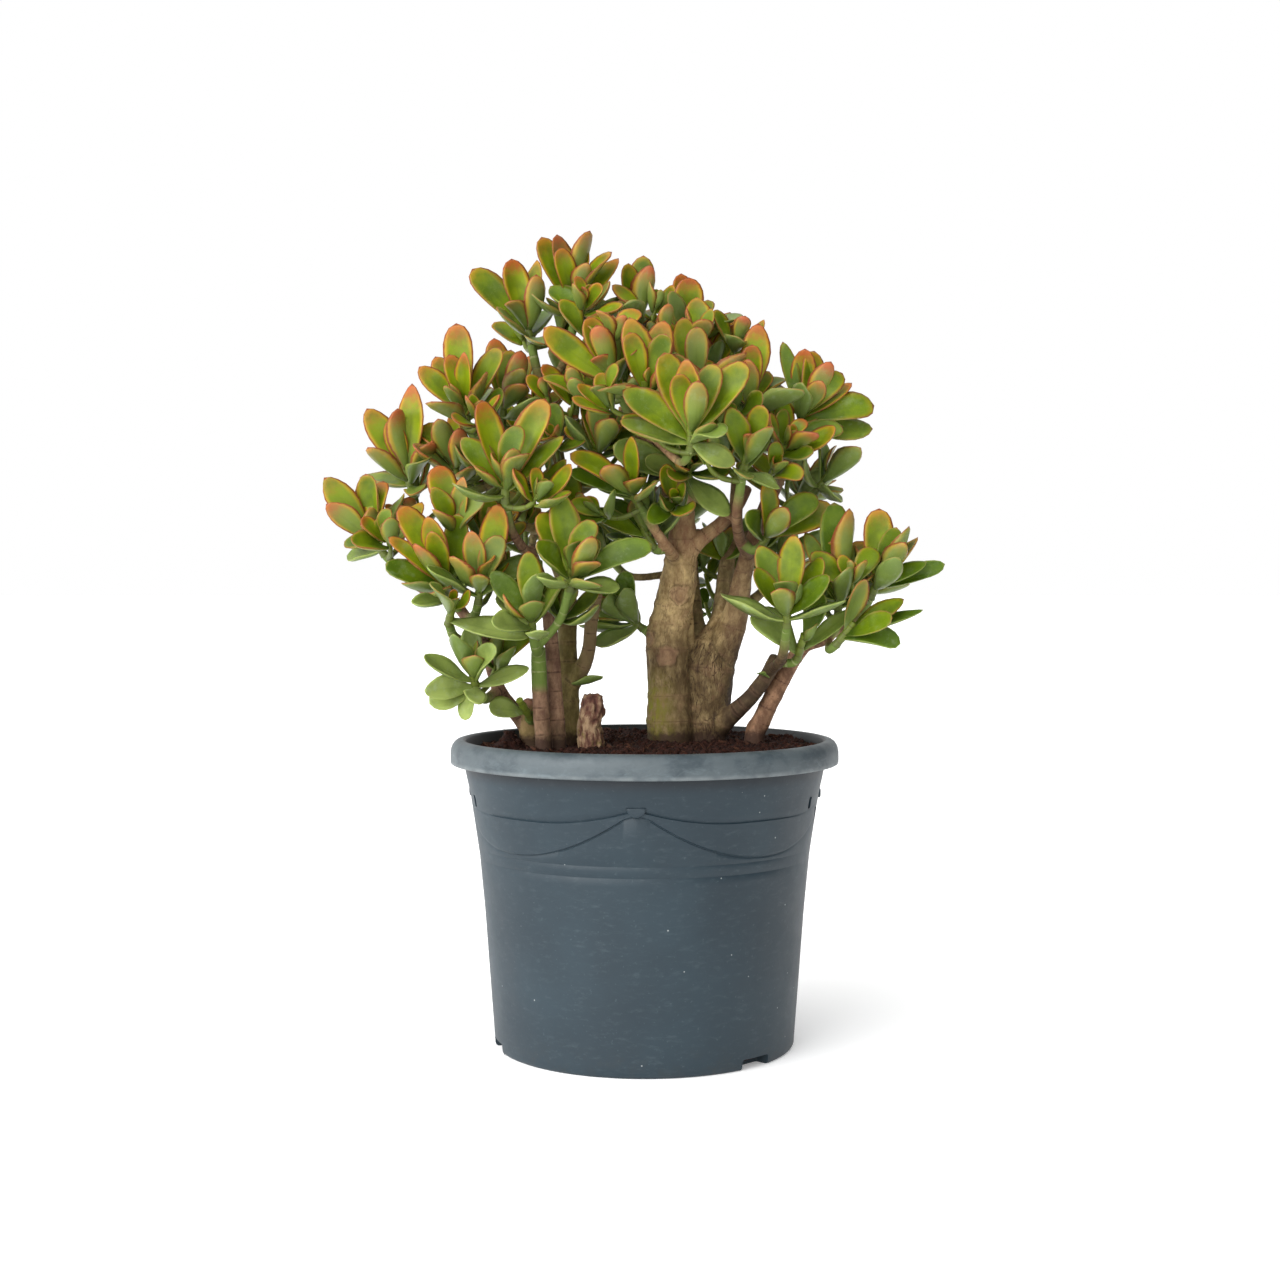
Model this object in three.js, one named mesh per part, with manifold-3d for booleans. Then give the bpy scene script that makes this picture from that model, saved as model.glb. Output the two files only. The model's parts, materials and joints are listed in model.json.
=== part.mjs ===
// Potted jade plant: moulded pot, peat, woody stems and leafy shoots.
// Millimetres, +Z up, origin at the centre of the pot's underside, front of the plant towards -Y.
import * as THREE from 'three';
import { mergeVertices } from 'three/addons/utils/BufferGeometryUtils.js';
import Module from 'manifold-3d';

const wasm = await Module();
wasm.setup();

// ---- driving dimensions -------------------------------------------------------------------------
const POT_HEIGHT = 208.5;
const FOOT_RADIUS = 102;
const NECK_RADIUS = 122; // wall just under the rim
const RIM_RADIUS = 132;
const RIM_DEPTH = 16; // height of the turned-down lip
const WALL = 2;
const FLOOR = 2.5;
const POT_SIDES = 36;
const DRAIN_AZIMUTHS = [45, 165, 285]; // degrees from the front, towards +X
const DRAIN = { width: 25, depth: 11, height: 7, wall: 2 };
const BUTTON_AZIMUTHS = [-2.6, 87.4, 177.4, 267.4];
const BUTTON = { radius: 6.2, z: 174.5, out: 1.8, deep: 2.6 };
const GAP = 0.35; // clearance between touching pieces
const SOIL_EDGE = 200; // peat level at the wall
const SOIL_MOUND = 5; // how much higher it is in the middle
const STEM_FOOT = 150; // depth at which the stems end in the peat
const TIP_STEM = 17; // green stem below the meeting point of a shoot's leaves
const TIP_STEM_RADIUS = 2.7;
const TWIG_RADIUS = 3.1;
const TWIG_SIDES = 4;
const LEAF = { length: 41, shortest: 35, width: 0.46, thick: 4.2, arch: 0.06 };
const LEAF_CLEARANCE = 0.5; // room kept round a leaf
const SUNWARD = [0, -0.95, 0.3]; // the front leaves turn their upper faces this way
const SLIVER = 0.04; // slimmer faces than this are closed up

const COLOURS = {
  pot: 0x53616a, soil: 0x3a2015, bark: 0x8a7750, olive: 0x7a7a3c, brown: 0x7b5a45, leaf: 0x7d932c,
};

// ---- small helpers ------------------------------------------------------------------------------
const vec = (x, y, z) => new THREE.Vector3(x, y, z);
const rad = THREE.MathUtils.degToRad;

// A repeatable number from 0 to 1 for each pair of whole numbers.
function chance(a, b) {
  const s = Math.sin(a * 12.9898 + b * 78.233) * 43758.5453;
  return s - Math.floor(s);
}

// Closed solid of a three.js geometry: shared vertices merged, flat triangles left out.
function solidOf(geometry) {
  const bare = new THREE.BufferGeometry();
  bare.setAttribute('position', geometry.getAttribute('position').clone());
  if (geometry.index) bare.setIndex(geometry.index.clone());
  const merged = mergeVertices(bare, 1e-4);
  const index = merged.index.array;
  const kept = [];
  for (let i = 0; i < index.length; i += 3) {
    const [a, b, c] = [index[i], index[i + 1], index[i + 2]];
    if (a !== b && b !== c && c !== a) kept.push(a, b, c);
  }
  return new wasm.Manifold(new wasm.Mesh({
    numProp: 3,
    vertProperties: new Float32Array(merged.getAttribute('position').array),
    triVerts: new Uint32Array(kept),
  }));
}

// Closed solid through rings of points. A ring of one point is a tip, other ends get a flat cap.
function loft(rings) {
  const points = [];
  const starts = rings.map((ring) => {
    const start = points.length / 3;
    ring.forEach((p) => points.push(p.x, p.y, p.z));
    return start;
  });
  const faces = [];
  for (let i = 0; i + 1 < rings.length; i += 1) {
    const [low, high] = [rings[i].length, rings[i + 1].length];
    const count = Math.max(low, high);
    for (let j = 0; j < count; j += 1) {
      const next = (j + 1) % count;
      const [a, b] = [starts[i] + (low > 1 ? j : 0), starts[i] + (low > 1 ? next : 0)];
      const [c, d] = [starts[i + 1] + (high > 1 ? next : 0), starts[i + 1] + (high > 1 ? j : 0)];
      if (low > 1) faces.push(a, b, c);
      if (high > 1) faces.push(a, c, d);
    }
  }
  const last = rings.length - 1;
  for (let j = 1; j + 1 < rings[0].length; j += 1) faces.push(starts[0], starts[0] + j + 1, starts[0] + j);
  for (let j = 1; j + 1 < rings[last].length; j += 1) {
    faces.push(starts[last], starts[last] + j, starts[last] + j + 1);
  }
  const geometry = new THREE.BufferGeometry();
  geometry.setAttribute('position', new THREE.Float32BufferAttribute(points, 3));
  geometry.setIndex(faces);
  return solidOf(geometry);
}

// Two directions square to the given one, turned little from ring to ring.
function sideways(direction, before) {
  const side = before.clone().addScaledVector(direction, -before.dot(direction)).normalize();
  return [side, direction.clone().cross(side).normalize()];
}

// Tapering limb along a list of [x, y, z, radius]. endWay: the direction that its last face looks in, if given.
function limb(path, sides, grow = 0, endWay = null) {
  const points = path.map(([x, y, z]) => vec(x, y, z));
  let side = vec(1, 0.2, 0.1);
  const rings = points.map((p, i) => {
    const ahead = points[Math.min(i + 1, points.length - 1)];
    const behind = points[Math.max(i - 1, 0)];
    const direction = i + 1 === points.length && endWay ? endWay : ahead.clone().sub(behind).normalize();
    const [u, v] = sideways(direction, side);
    side = u;
    const radius = path[i][3] + grow;
    return Array.from({ length: sides }, (_, j) => {
      const turn = (2 * Math.PI * j) / sides;
      return p.clone().addScaledVector(u, radius * Math.cos(turn)).addScaledVector(v, radius * Math.sin(turn));
    });
  });
  return loft(rings);
}

// Box round a solid, for a quick look before a costly one.
function boxOf(solid) {
  const { min, max } = solid.boundingBox();
  return new THREE.Box3(vec(...min), vec(...max));
}

const withBox = (solid) => ({ solid, box: boxOf(solid) });

const crosses = (a, b) => a.box.intersectsBox(b.box) && !a.solid.intersect(b.solid).isEmpty();

function meshOf(name, solid, colour, roughness) {
  const { vertProperties, triVerts } = solid.simplify(SLIVER).getMesh();
  const geometry = new THREE.BufferGeometry();
  geometry.setAttribute('position', new THREE.BufferAttribute(new Float32Array(vertProperties), 3));
  geometry.setIndex(new THREE.BufferAttribute(new Uint32Array(triVerts), 1));
  geometry.computeVertexNormals();
  const material = new THREE.MeshStandardMaterial({ color: colour, roughness, metalness: 0 });
  const mesh = new THREE.Mesh(geometry, material);
  mesh.name = name;
  return mesh;
}

// Geometry turned about Z so that what faced the front (-Y) faces the given azimuth.
function facing(geometry, azimuth) {
  geometry.rotateZ(rad(azimuth));
  return geometry;
}

// ---- pot ----------------------------------------------------------------------------------------
// Outer radius of the wall at a height: nearly straight, flaring more in the upper third.
const WALL_STATIONS = [[0, FOOT_RADIUS], [93, 108.8], [131, 112.4], [170, 118.2], [187.5, NECK_RADIUS]];

function wallRadius(z) {
  const i = Math.max(0, WALL_STATIONS.findIndex(([height]) => height >= z) - 1);
  const [[z0, r0], [z1, r1]] = [WALL_STATIONS[i], WALL_STATIONS[i + 1]];
  return r0 + ((r1 - r0) * (z - z0)) / (z1 - z0);
}

// Box at the foot of the wall, from its outside (radius, height) inwards and upwards.
function drainBox(azimuth, outside, below, extra) {
  const inside = FOOT_RADIUS - DRAIN.depth - extra;
  const top = DRAIN.height + extra;
  const box = new THREE.BoxGeometry(DRAIN.width + 2 * extra, outside - inside, top - below);
  box.translate(0, -(outside + inside) / 2, (top + below) / 2);
  return solidOf(facing(box, azimuth));
}

function button(azimuth) {
  const shape = new THREE.Shape();
  shape.absarc(0, 0, BUTTON.radius, Math.PI, 2 * Math.PI, false);
  shape.closePath();
  const body = new THREE.ExtrudeGeometry(shape, { depth: BUTTON.deep, bevelEnabled: false, curveSegments: 6 });
  body.rotateX(Math.PI / 2);
  body.translate(0, -wallRadius(BUTTON.z - 4) - BUTTON.out + BUTTON.deep, BUTTON.z);
  return solidOf(facing(body, azimuth));
}

function makePot() {
  const neck = WALL_STATIONS[WALL_STATIONS.length - 1][0];
  const lip = POT_HEIGHT - RIM_DEPTH;
  const outer = [[0, 0], [FOOT_RADIUS - 1.5, 0], [wallRadius(1.5), 1.5]].concat(
    WALL_STATIONS.slice(1).map(([z, r]) => [r, z]),
  );
  const rim = [
    [NECK_RADIUS + 0.8, POT_HEIGHT - 4], [RIM_RADIUS - 3, POT_HEIGHT - 4], [RIM_RADIUS - WALL, lip],
    [RIM_RADIUS, lip], [RIM_RADIUS, POT_HEIGHT - 8], [RIM_RADIUS - 2, POT_HEIGHT - 2.5],
    [RIM_RADIUS - 5.5, POT_HEIGHT], [NECK_RADIUS, POT_HEIGHT],
  ];
  const inner = WALL_STATIONS.slice(1, -1).reverse().map(([z, r]) => [r - WALL, z]);
  const profile = [
    ...outer, ...rim, [NECK_RADIUS - WALL, neck], ...inner, [FOOT_RADIUS - WALL, FLOOR], [0, FLOOR],
  ];
  const lathe = new THREE.LatheGeometry(profile.map(([r, z]) => new THREE.Vector2(r, z)), POT_SIDES);
  lathe.rotateX(Math.PI / 2);
  const shell = solidOf(lathe);
  const blocks = DRAIN_AZIMUTHS.map((a) => drainBox(a, FOOT_RADIUS - 1.4, 0.5, DRAIN.wall));
  const cuts = DRAIN_AZIMUTHS.map((a) => drainBox(a, FOOT_RADIUS + 5, -5, 0));
  const buttons = BUTTON_AZIMUTHS.map(button);
  return wasm.Manifold.union([shell, ...blocks, ...buttons]).subtract(wasm.Manifold.union(cuts));
}

// ---- woody stems --------------------------------------------------------------------------------
// Each stem is a list of limbs, and each limb a list of [x, y, z, radius] from its root outwards.
const STEMS = {
  trunk_right: {
    colour: COLOURS.bark, sides: 8,
    limbs: [
      [[17.5, 20, STEM_FOOT, 14.5], [17.5, 20, 204, 15.8], [16.5, 20, 240, 14.2], [15.8, 20, 275, 14.2],
        [20, 19, 298, 13.2], [23.5, 17, 316, 12.6], [26, 15, 338, 10.5], [26, 12, 368, 8], [27, 4, 400, 6.2],
        [30, -8, 425, 5]],
      [[43, 30, STEM_FOOT, 14], [43, 30, 206, 14.6], [44.5, 31, 240, 16.8], [46.5, 33, 262, 16.6],
        [51, 36, 278, 10.5], [54, 39, 294, 6.6], [58, 44, 326, 5.6], [64, 48, 360, 5], [66, 46, 395, 4.4]],
      [[52, 30, 262, 10], [58, 26, 277, 10], [62, 24, 288, 9], [65, 21, 300, 8], [69.5, 18, 326, 6.2],
        [80, 8, 358, 5.4], [92, 0, 388, 4.8], [100, -4, 408, 4]],
      [[27, 14, 333, 6.5], [38, 12, 344, 5.6], [50, 10, 353, 5], [62, 6, 365, 4.6], [70, 0, 380, 4]],
      [[38, 40, 262, 8], [37.5, 43, 284, 5.4], [36, 48, 300, 4.6], [34, 58, 325, 4.4], [32, 72, 350, 4.2],
        [30, 80, 385, 4.2]],
      [[50, 26, 214, 8], [63, 14, 226, 6], [73, 8, 236, 5.4], [83, 2, 250, 5.1], [90, -4, 264, 4.8]],
    ],
  },
  stem_right: {
    colour: COLOURS.bark, sides: 7,
    limbs: [
      [[76, 18, STEM_FOOT, 6], [76, 18, 205, 7.2], [81, 17, 219, 6.6], [90, 14, 239, 6.4], [101, 8, 260, 5.8],
        [112, 1, 275, 4.6]],
    ],
  },
  trunk_left: {
    colour: COLOURS.olive, sides: 8,
    limbs: [
      [[-54, 6, STEM_FOOT, 9], [-54, 6, 204, 11.4], [-54, 6, 220, 10], [-53, 6, 245, 8], [-53, 6, 268, 6.8],
        [-53, 7, 300, 6.6], [-54, 8, 330, 6.4], [-57, 8, 375, 6.2], [-60, 4, 400, 5.4], [-64, 2, 425, 4.6]],
      [[-52, 4, 244, 6.5], [-43, 0, 256, 5.5], [-38, -3, 269, 4.8], [-36, -8, 288, 4.5], [-32, -14, 308, 4]],
      [[-52, 8, 305, 5.5], [-62, 32, 330, 4.6], [-72, 54, 358, 4]],
    ],
  },
  stem_brown: {
    colour: COLOURS.brown, sides: 7,
    limbs: [
      [[-58, -25, STEM_FOOT, 5], [-58, -25, 206, 5.6], [-60, -25, 238, 5.2], [-62, -25, 270, 4.9],
        [-66, -30, 305, 4.5], [-76, -40, 338, 4]],
    ],
  },
  stem_ringed: {
    colour: COLOURS.brown, sides: 7,
    limbs: [
      [[-67, -37, STEM_FOOT, 5], [-67, -37, 206, 5.8], [-69, -38, 232, 5.5], [-70, -41, 258, 5.2],
        [-70, -46, 272, 4.6]],
    ],
  },
  stem_outer: {
    colour: COLOURS.brown, sides: 7,
    limbs: [
      [[-74, -12, STEM_FOOT, 5], [-75, -12, 204, 6.4], [-82, -16, 220, 5.4], [-97, -28, 243, 4.6],
        [-105, -36, 270, 4.3], [-114, -40, 286, 4], [-126, -36, 302, 3.8]],
      [[-76, -13, STEM_FOOT, 6], [-76, -13, 206, 8.6], [-77, -16, 219, 8.2], [-77, -18, 230, 7.2],
        [-76, -19, 236, 4.6]],
    ],
  },
  stump: {
    colour: COLOURS.brown, sides: 8,
    limbs: [
      [[-36, -21, STEM_FOOT, 7.5], [-36, -21, 205, 8.6], [-37, -21, 218, 7.4], [-35, -21, 230, 8.2],
        [-36, -20, 239, 5.6]],
    ],
  },
};

// ---- leafy shoots -------------------------------------------------------------------------------
// at: where the leaves meet. lean: the way the shoot points. leaves: tips of the leaves seen from the
// front, as [across, up, depth sign, width], from the meeting point. Depth follows from the leaf's
// length: -1 leans to the front, 1 to the back, 0 neither. Further opposite pairs stand at the angles
// FILL from the shoot's line, where there is room, unless the shoot is marked bare.
const FILL = [84, 58, 32];
const FILL_APART = 42; // degrees between a filling leaf and one that the front shows
const SHOOTS = [
  ['left_tip', 'stem_outer', [-185, -20, 347], [-0.6, -0.1, 0.8],
    [[-30, 38, 0], [-8, 42, 1], [1, 42], [17, 37, 1], [-27, 20], [-19, -14, 1]]],
  ['left_high', 'stem_outer', [-163, 0, 393], [-0.3, 0, 1],
    [[-26, 40, 1], [-18, 33], [-10, 44, 1], [5, 57, 0], [17, 35], [12, -18, -1]]],
  ['left_crown', 'trunk_left', [-122, -20, 436], [-0.2, -0.2, 1],
    [[-4, 52, 0, 21], [-16, 32], [-29, 23], [-31, 36, 1], [3, 31], [25, 36, 1], [18, 17]]],
  ['left_inner', 'trunk_left', [-96, 10, 441], [0.1, 0, 1],
    [[-7, 41, 1], [0, 37], [15, 36, 1], [22, 30, 0], [22, 22]]],
  ['left_front', 'stem_brown', [-90, -70, 383], [0, -0.3, 1],
    [[-15, 49, 0, 20], [-28, 25], [10, 32], [26, 50, 0, 21], [38, 26, 0]]],
  ['left_peak', 'trunk_left', [-81, 10, 495], [-0.2, 0, 1],
    [[-37, 34, 0, 22], [-10, 41, 1], [6, 44, 0], [8, 27], [-18, 3], [12, -20]]],
  ['top', 'trunk_left', [-47, 0, 509], [0.05, 0, 1],
    [[-23, 40, 0], [-10, 30], [-10, 44, 1], [0, 43, 0], [14, 45, 1], [5, 34], [27, 31], [31, 36, 1], [25, 11]]],
  ['mid_pink', 'trunk_right', [-21, -50, 453], [-0.3, -0.3, 1],
    [[-45, 28, 0], [-16, 35], [-10, 27], [-3, 40, 1], [5, 40, 0]]],
  ['mid_front', 'trunk_right', [0, -70, 442], [-0.1, -0.4, 1],
    [[-10, 43, 1], [-10, 32], [6, 50, 0], [13, 37, 0]]],
  ['mid_back', 'trunk_right', [-6, 10, 497], [0, 0.1, 1], [[-5, 36], [5, 45, 0], [14, 35, 1]]],
  ['peak_right', 'trunk_right', [31, 10, 488], [0, 0, 1], [[-1, 34, -1, 21], [-19, 23], [-6, 38, 1]]],
  ['mid_red', 'trunk_right', [34, -34, 450], [0, -0.2, 1], [[0, 32], [-9, 40, 1]]],
  ['right_crown', 'trunk_right', [46, 20, 463], [0.3, 0, 1], [[11, 34], [19, 27], [9, 47, 0], [36, 28, 0]]],
  ['centre', 'trunk_right', [29, -90, 415], [0, -0.5, 1],
    [[-17, 45, 0, 21], [-8, 30], [4, 25], [-4, 43, 1], [11, 42, 1], [35, 39, 0, 21], [-43, 22, 0],
      [-45, 2, 0, 20], [28, -26, 0]]],
  ['centre_low', 'trunk_right', [66, -70, 398], [0.2, -0.5, 1],
    [[-12, 28], [9, 29], [12, 15], [-5, -16], [21, -23, 0]]],
  ['right_twig', 'trunk_right', [71, -20, 440], [0.1, -0.1, 1], [[-3, 21], [0, 32], [5, 48, 0]]],
  ['right_high', 'trunk_right', [109, -10, 433], [0.4, -0.1, 1],
    [[-16, 44, 0, 11], [-3, 41], [3, 41, 1], [14, 36, 1], [22, 27], [31, 21, 1], [46, 1, 0, 22],
      [49, -9, -1, 22], [-5, 13]]],
  ['right_mid', 'trunk_right', [95, -34, 408], [0.4, -0.6, 0.8],
    [[30, 7, -1, 20], [12, -11], [-14, 14]]],
  ['right_out', 'trunk_right', [127, 6, 390], [0.6, 0, 0.8],
    [[18, 15], [-20, 8], [-8, 30, 1], [4, -20]], 'bare'],
  ['right_bright', 'trunk_right', [85, -30, 351], [0.5, -0.5, 0.8],
    [[30, 21, -1, 18], [42, 26, 0], [-19, 9], [-6, 30], [8, 12]], 'bare'],
  ['right_low_high', 'stem_right', [129, -30, 310], [0, -0.1, 1],
    [[-3, 58, 0], [9, 57, 1], [-21, 42, 0, 12], [12, 40], [-1, 34]]],
  ['right_low_tip', 'stem_right', [157, -30, 320], [0.4, -0.1, 1],
    [[-1, 44, 0], [5, 37], [16, 39, 1], [17, 28], [25, 25, 1], [29, 17], [43, 7, 0, 11], [8, 11]]],
  ['right_low_front', 'trunk_right', [93, -60, 302], [0, -0.4, 1],
    [[4, 44, 0], [17, 38, 1], [27, 28, -1, 20], [-23, 21], [-18, 40, 0]]],
  ['right_low_broad', 'trunk_right', [105, -40, 279], [0.2, -0.5, 0.9],
    [[-48, 0, -1, 24], [46, 4, -1, 13], [10, 30]], 'bare'],
  ['right_low_out', 'stem_right', [136, -50, 287], [0.6, -0.3, 0.8],
    [[30, -12], [23, 5], [34, 17, 0], [47, 10, 0, 12], [6, 30]], 'bare'],
  ['left_low', 'stem_outer', [-132, -50, 318], [-0.4, -0.3, 1],
    [[-28, 47, 1], [-18, 43, 0], [-23, 32], [-16, 22], [-6, 30], [10, 42, 0], [-38, 9], [-39, 31, 0, 12],
      [0, -8], [-16, -17]]],
  ['left_low_inner', 'stem_outer', [-107, -60, 318], [0.1, -0.3, 1], [[-4, 30], [11, 30], [15, 50, 0, 22]]],
  ['left_foot', 'stem_outer', [-82, -44, 236], [-0.3, -0.7, 0.6], [[-21, -3, 0, 17]], 'bare'],
  ['left_between', 'trunk_left', [-132, 0, 400], [-0.3, -0.3, 0.9], [[-6, 24], [10, 22], [16, -8], [-22, 6]]],
  ['left_droop', 'stem_outer', [-124, -72, 299], [0.2, -0.7, 0.6], [[49, -20, 0, 23], [-12, 18]], 'bare'],
  ['left_pale', 'stem_ringed', [-74, -70, 297], [-0.1, -0.4, 1], [[-25, 25], [-1, 38], [-23, -7], [8, -12]]],
  ['left_bottom', 'stem_outer', [-113, -60, 258], [-0.2, -0.5, 0.9],
    [[-29, 9], [-9, 24], [23, 15], [38, 1, 0, 16], [-29, -13], [5, -20], [-27, -22, -1, 21], [-3, -35, 0, 13]]],
  ['left_centre', 'stem_ringed', [-47, -80, 326], [0.1, -0.4, 1],
    [[-8, 47, 0, 20], [-23, 35, 1], [-21, 14], [15, 28], [14, 18], [52, 13, 0, 17], [-18, -8], [31, -15, 0]]],
  ['left_big', 'stem_outer', [-125, -40, 356], [0, -0.2, 1], [[-12, 36, -1, 20], [10, 26], [19, 13], [-17, 13]]],
  ['gap_upper', 'trunk_right', [-12, -50, 379], [-0.5, -0.4, 0.8],
    [[-37, 20, 0], [-40, 7, 0, 12], [4, 30], [-14, 10]]],
  ['gap_lower', 'trunk_right', [-2, -20, 353], [-0.5, -0.2, 0.9], [[-33, 10], [-18, -15], [10, 22]]],
  ['inner_left', 'trunk_left', [-30, -20, 410], [0.1, -0.3, 1], [[-1, 30], [10, 12], [-22, 14]]],
  ['trunk_side', 'trunk_right', [-15, 24, 293], [-0.8, 0.1, 0.6],
    [[-18, -22, -1, 20], [1, 18], [-10, 8], [2, 30]]],
  ['trunk_top', 'trunk_right', [30, -40, 392], [0.1, -0.8, 0.5],
    [[30, -33, 0], [-30, 4, 0], [-51, 13, 0, 21]]],
  ['behind_right', 'trunk_right', [66, 66, 335], [0.2, 0.4, 0.9], [[-16, 14], [10, 16], [18, 2]]],
  ['back_1', 'trunk_left', [-125, 62, 392], [-0.4, 0.4, 1], []],
  ['back_2', 'trunk_left', [-78, 92, 425], [-0.1, 0.4, 1], []],
  ['back_3', 'trunk_left', [-92, 96, 352], [-0.3, 0.6, 0.8], []],
  ['back_4', 'trunk_left', [-48, 62, 462], [0, 0.3, 1], []],
  ['back_5', 'trunk_right', [-14, 92, 415], [-0.2, 0.4, 1], []],
  ['back_6', 'trunk_right', [30, 112, 440], [0, 0.4, 1], []],
  ['back_7', 'trunk_right', [78, 92, 420], [0.3, 0.4, 1], []],
  ['back_8', 'trunk_right', [114, 58, 385], [0.5, 0.3, 0.9], []],
  ['back_9', 'trunk_right', [20, 122, 360], [0, 0.6, 0.8], []],
  ['back_10', 'trunk_right', [-30, 104, 345], [-0.3, 0.5, 0.8], []],
  ['back_11', 'trunk_right', [104, 76, 332], [0.5, 0.5, 0.7], []],
];

// A leaf runs from its root on the shoot's line to its tip. Its upper face looks towards the shoot's line.
function seenLeaves(shoot) {
  return shoot[4].map(([across, up, depth = -1, width = 0]) => {
    const reach = Math.hypot(across, up);
    const length = Math.max(LEAF.shortest, reach);
    const back = Math.sqrt(Math.max(0, length * length - reach * reach));
    return { way: vec(across, back * Math.sign(depth), up), width, turned: depth > 0 ? 0.35 : 0.62 };
  });
}

function pairedLeaves(shoot, number, axis, seen) {
  if (shoot[5] === 'bare') return [];
  const [u, v] = sideways(axis, vec(0.3, -1, 0.1));
  const turn0 = 360 * chance(number, 7);
  const made = [];
  FILL.forEach((spread, level) => {
    for (const side of [0, 180]) {
      const turn = rad(turn0 + 90 * level + side + 16 * (chance(number, 11 + level) - 0.5));
      const tilt = rad(spread + 14 * (chance(number, 20 + 3 * level + side) - 0.5));
      const way = axis.clone().multiplyScalar(Math.cos(tilt));
      way.addScaledVector(u, Math.sin(tilt) * Math.cos(turn));
      way.addScaledVector(v, Math.sin(tilt) * Math.sin(turn));
      const length = LEAF.length * (1.02 - 0.15 * level) * (0.9 + 0.2 * chance(number, 40 + 5 * level + side));
      const free = seen.every((leaf) => leaf.way.angleTo(way) > rad(FILL_APART));
      if (free) made.push({ way: way.multiplyScalar(length), width: 0, turned: 0.15 });
    }
  });
  return made;
}

// Direction of a leaf's upper face: towards the shoot's line, and for the front leaves partly to the front.
function upperFace(along, axis, turned) {
  let look = axis.clone().lerp(vec(...SUNWARD), turned).normalize();
  if (Math.abs(look.dot(along)) > 0.92) look = axis.clone();
  return look.addScaledVector(along, -look.dot(along)).normalize();
}

// The k-th way of placing a leaf: the first is as wanted, the others lean and shorten a little more each time.
function placed(leaf, at, axis, k) {
  const straight = leaf.way.clone().normalize();
  const spread = axis.angleTo(straight);
  const ring = Math.ceil(k / 6);
  const face = upperFace(straight, axis, leaf.turned);
  const side = face.clone().cross(straight);
  const lean = Math.tan(rad(8 * ring));
  const turn = rad(60 * k + 30 * ring);
  const way = straight.clone().addScaledVector(side, lean * Math.cos(turn));
  way.addScaledVector(face, lean * Math.sin(turn)).normalize();
  const reach = leaf.way.length() * (1 - 0.05 * ring);
  const root = at.clone().addScaledVector(axis, -(2 + 11 * Math.min(1, spread / (Math.PI / 2))));
  root.add(way.clone().addScaledVector(axis, -axis.dot(way)).normalize());
  const tip = at.clone().addScaledVector(way, reach);
  return { root, tip, width: leaf.width || LEAF.width * Math.min(44, reach), axis, turned: leaf.turned };
}

const BLADE = [[0, 0, 0], [0.38, 0.84, 1], [0.76, 1, 0.8], [1, 0, 0]]; // along, share of width, of thickness

// Blade as a loft of four-cornered sections. from: the first section used. grow: added all round.
function blade({ root, tip, width, axis, turned }, from = 0, grow = 0) {
  const run = tip.clone().sub(root);
  const length = run.length();
  const along = run.clone().normalize();
  const face = upperFace(along, axis, turned);
  const side = face.clone().cross(along);
  const rings = BLADE.slice(from).map(([s, wide, thick]) => {
    const centre = root.clone().addScaledVector(run, s);
    centre.addScaledVector(face, -LEAF.arch * length * 4 * s * (1 - s));
    if (!wide) return [centre.addScaledVector(along, s ? grow : -grow)];
    const half = (wide * width) / 2 + grow;
    const deep = (thick * LEAF.thick) / 2 + grow;
    return [[half, 0], [0, deep], [-half, 0], [0, -deep]].map(
      ([a, b]) => centre.clone().addScaledVector(side, a).addScaledVector(face, b),
    );
  });
  return loft(rings);
}

// ---- growing the plant --------------------------------------------------------------------------
const axisOf = ([, , , lean]) => vec(...lean).normalize();

function baseOf(shoot) {
  return vec(...shoot[2]).addScaledVector(axisOf(shoot), -TIP_STEM);
}

// The point of a stem's skeleton from which a twig best reaches the base: near it, and below it.
function twigRoot(skeleton, limbCount, base) {
  let best = null;
  for (const [order, path] of skeleton.entries()) {
    const end = path.length - (order < limbCount ? 1 : 2); // nothing grows from the last of a twig
    for (let i = 0; i < end; i += 1) {
      for (const t of [0, 0.25, 0.5, 0.75]) {
        const [p, q] = [path[i], path[i + 1]];
        const spot = p.map((value, n) => value + (q[n] - value) * t);
        const from = vec(spot[0], spot[1], spot[2]);
        const level = Math.hypot(base.x - from.x, base.y - from.y);
        const cost = from.distanceTo(base) + 1.5 * Math.max(0, from.z - base.z + 0.6 * level);
        if (from.z > 226 && (!best || cost < best.cost)) best = { cost, from, radius: spot[3] };
      }
    }
  }
  return best;
}

// Twig that leaves its limb and comes up to the base of a shoot in the shoot's own direction.
function twigPath(skeleton, limbCount, shoot) {
  const base = baseOf(shoot);
  const axis = axisOf(shoot);
  const { from, radius } = twigRoot(skeleton, limbCount, base);
  const end = base.clone().addScaledVector(axis, -GAP);
  const bend = end.clone().addScaledVector(axis, -0.45 * from.distanceTo(base));
  const curve = new THREE.QuadraticBezierCurve3(from, bend, end);
  const steps = Math.max(2, Math.round(from.distanceTo(base) / 34));
  const start = Math.min(radius * 0.8, 4.6);
  return curve.getPoints(steps).map((p, i) => [p.x, p.y, p.z, start + (TWIG_RADIUS - start) * (i / steps)]);
}

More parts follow.
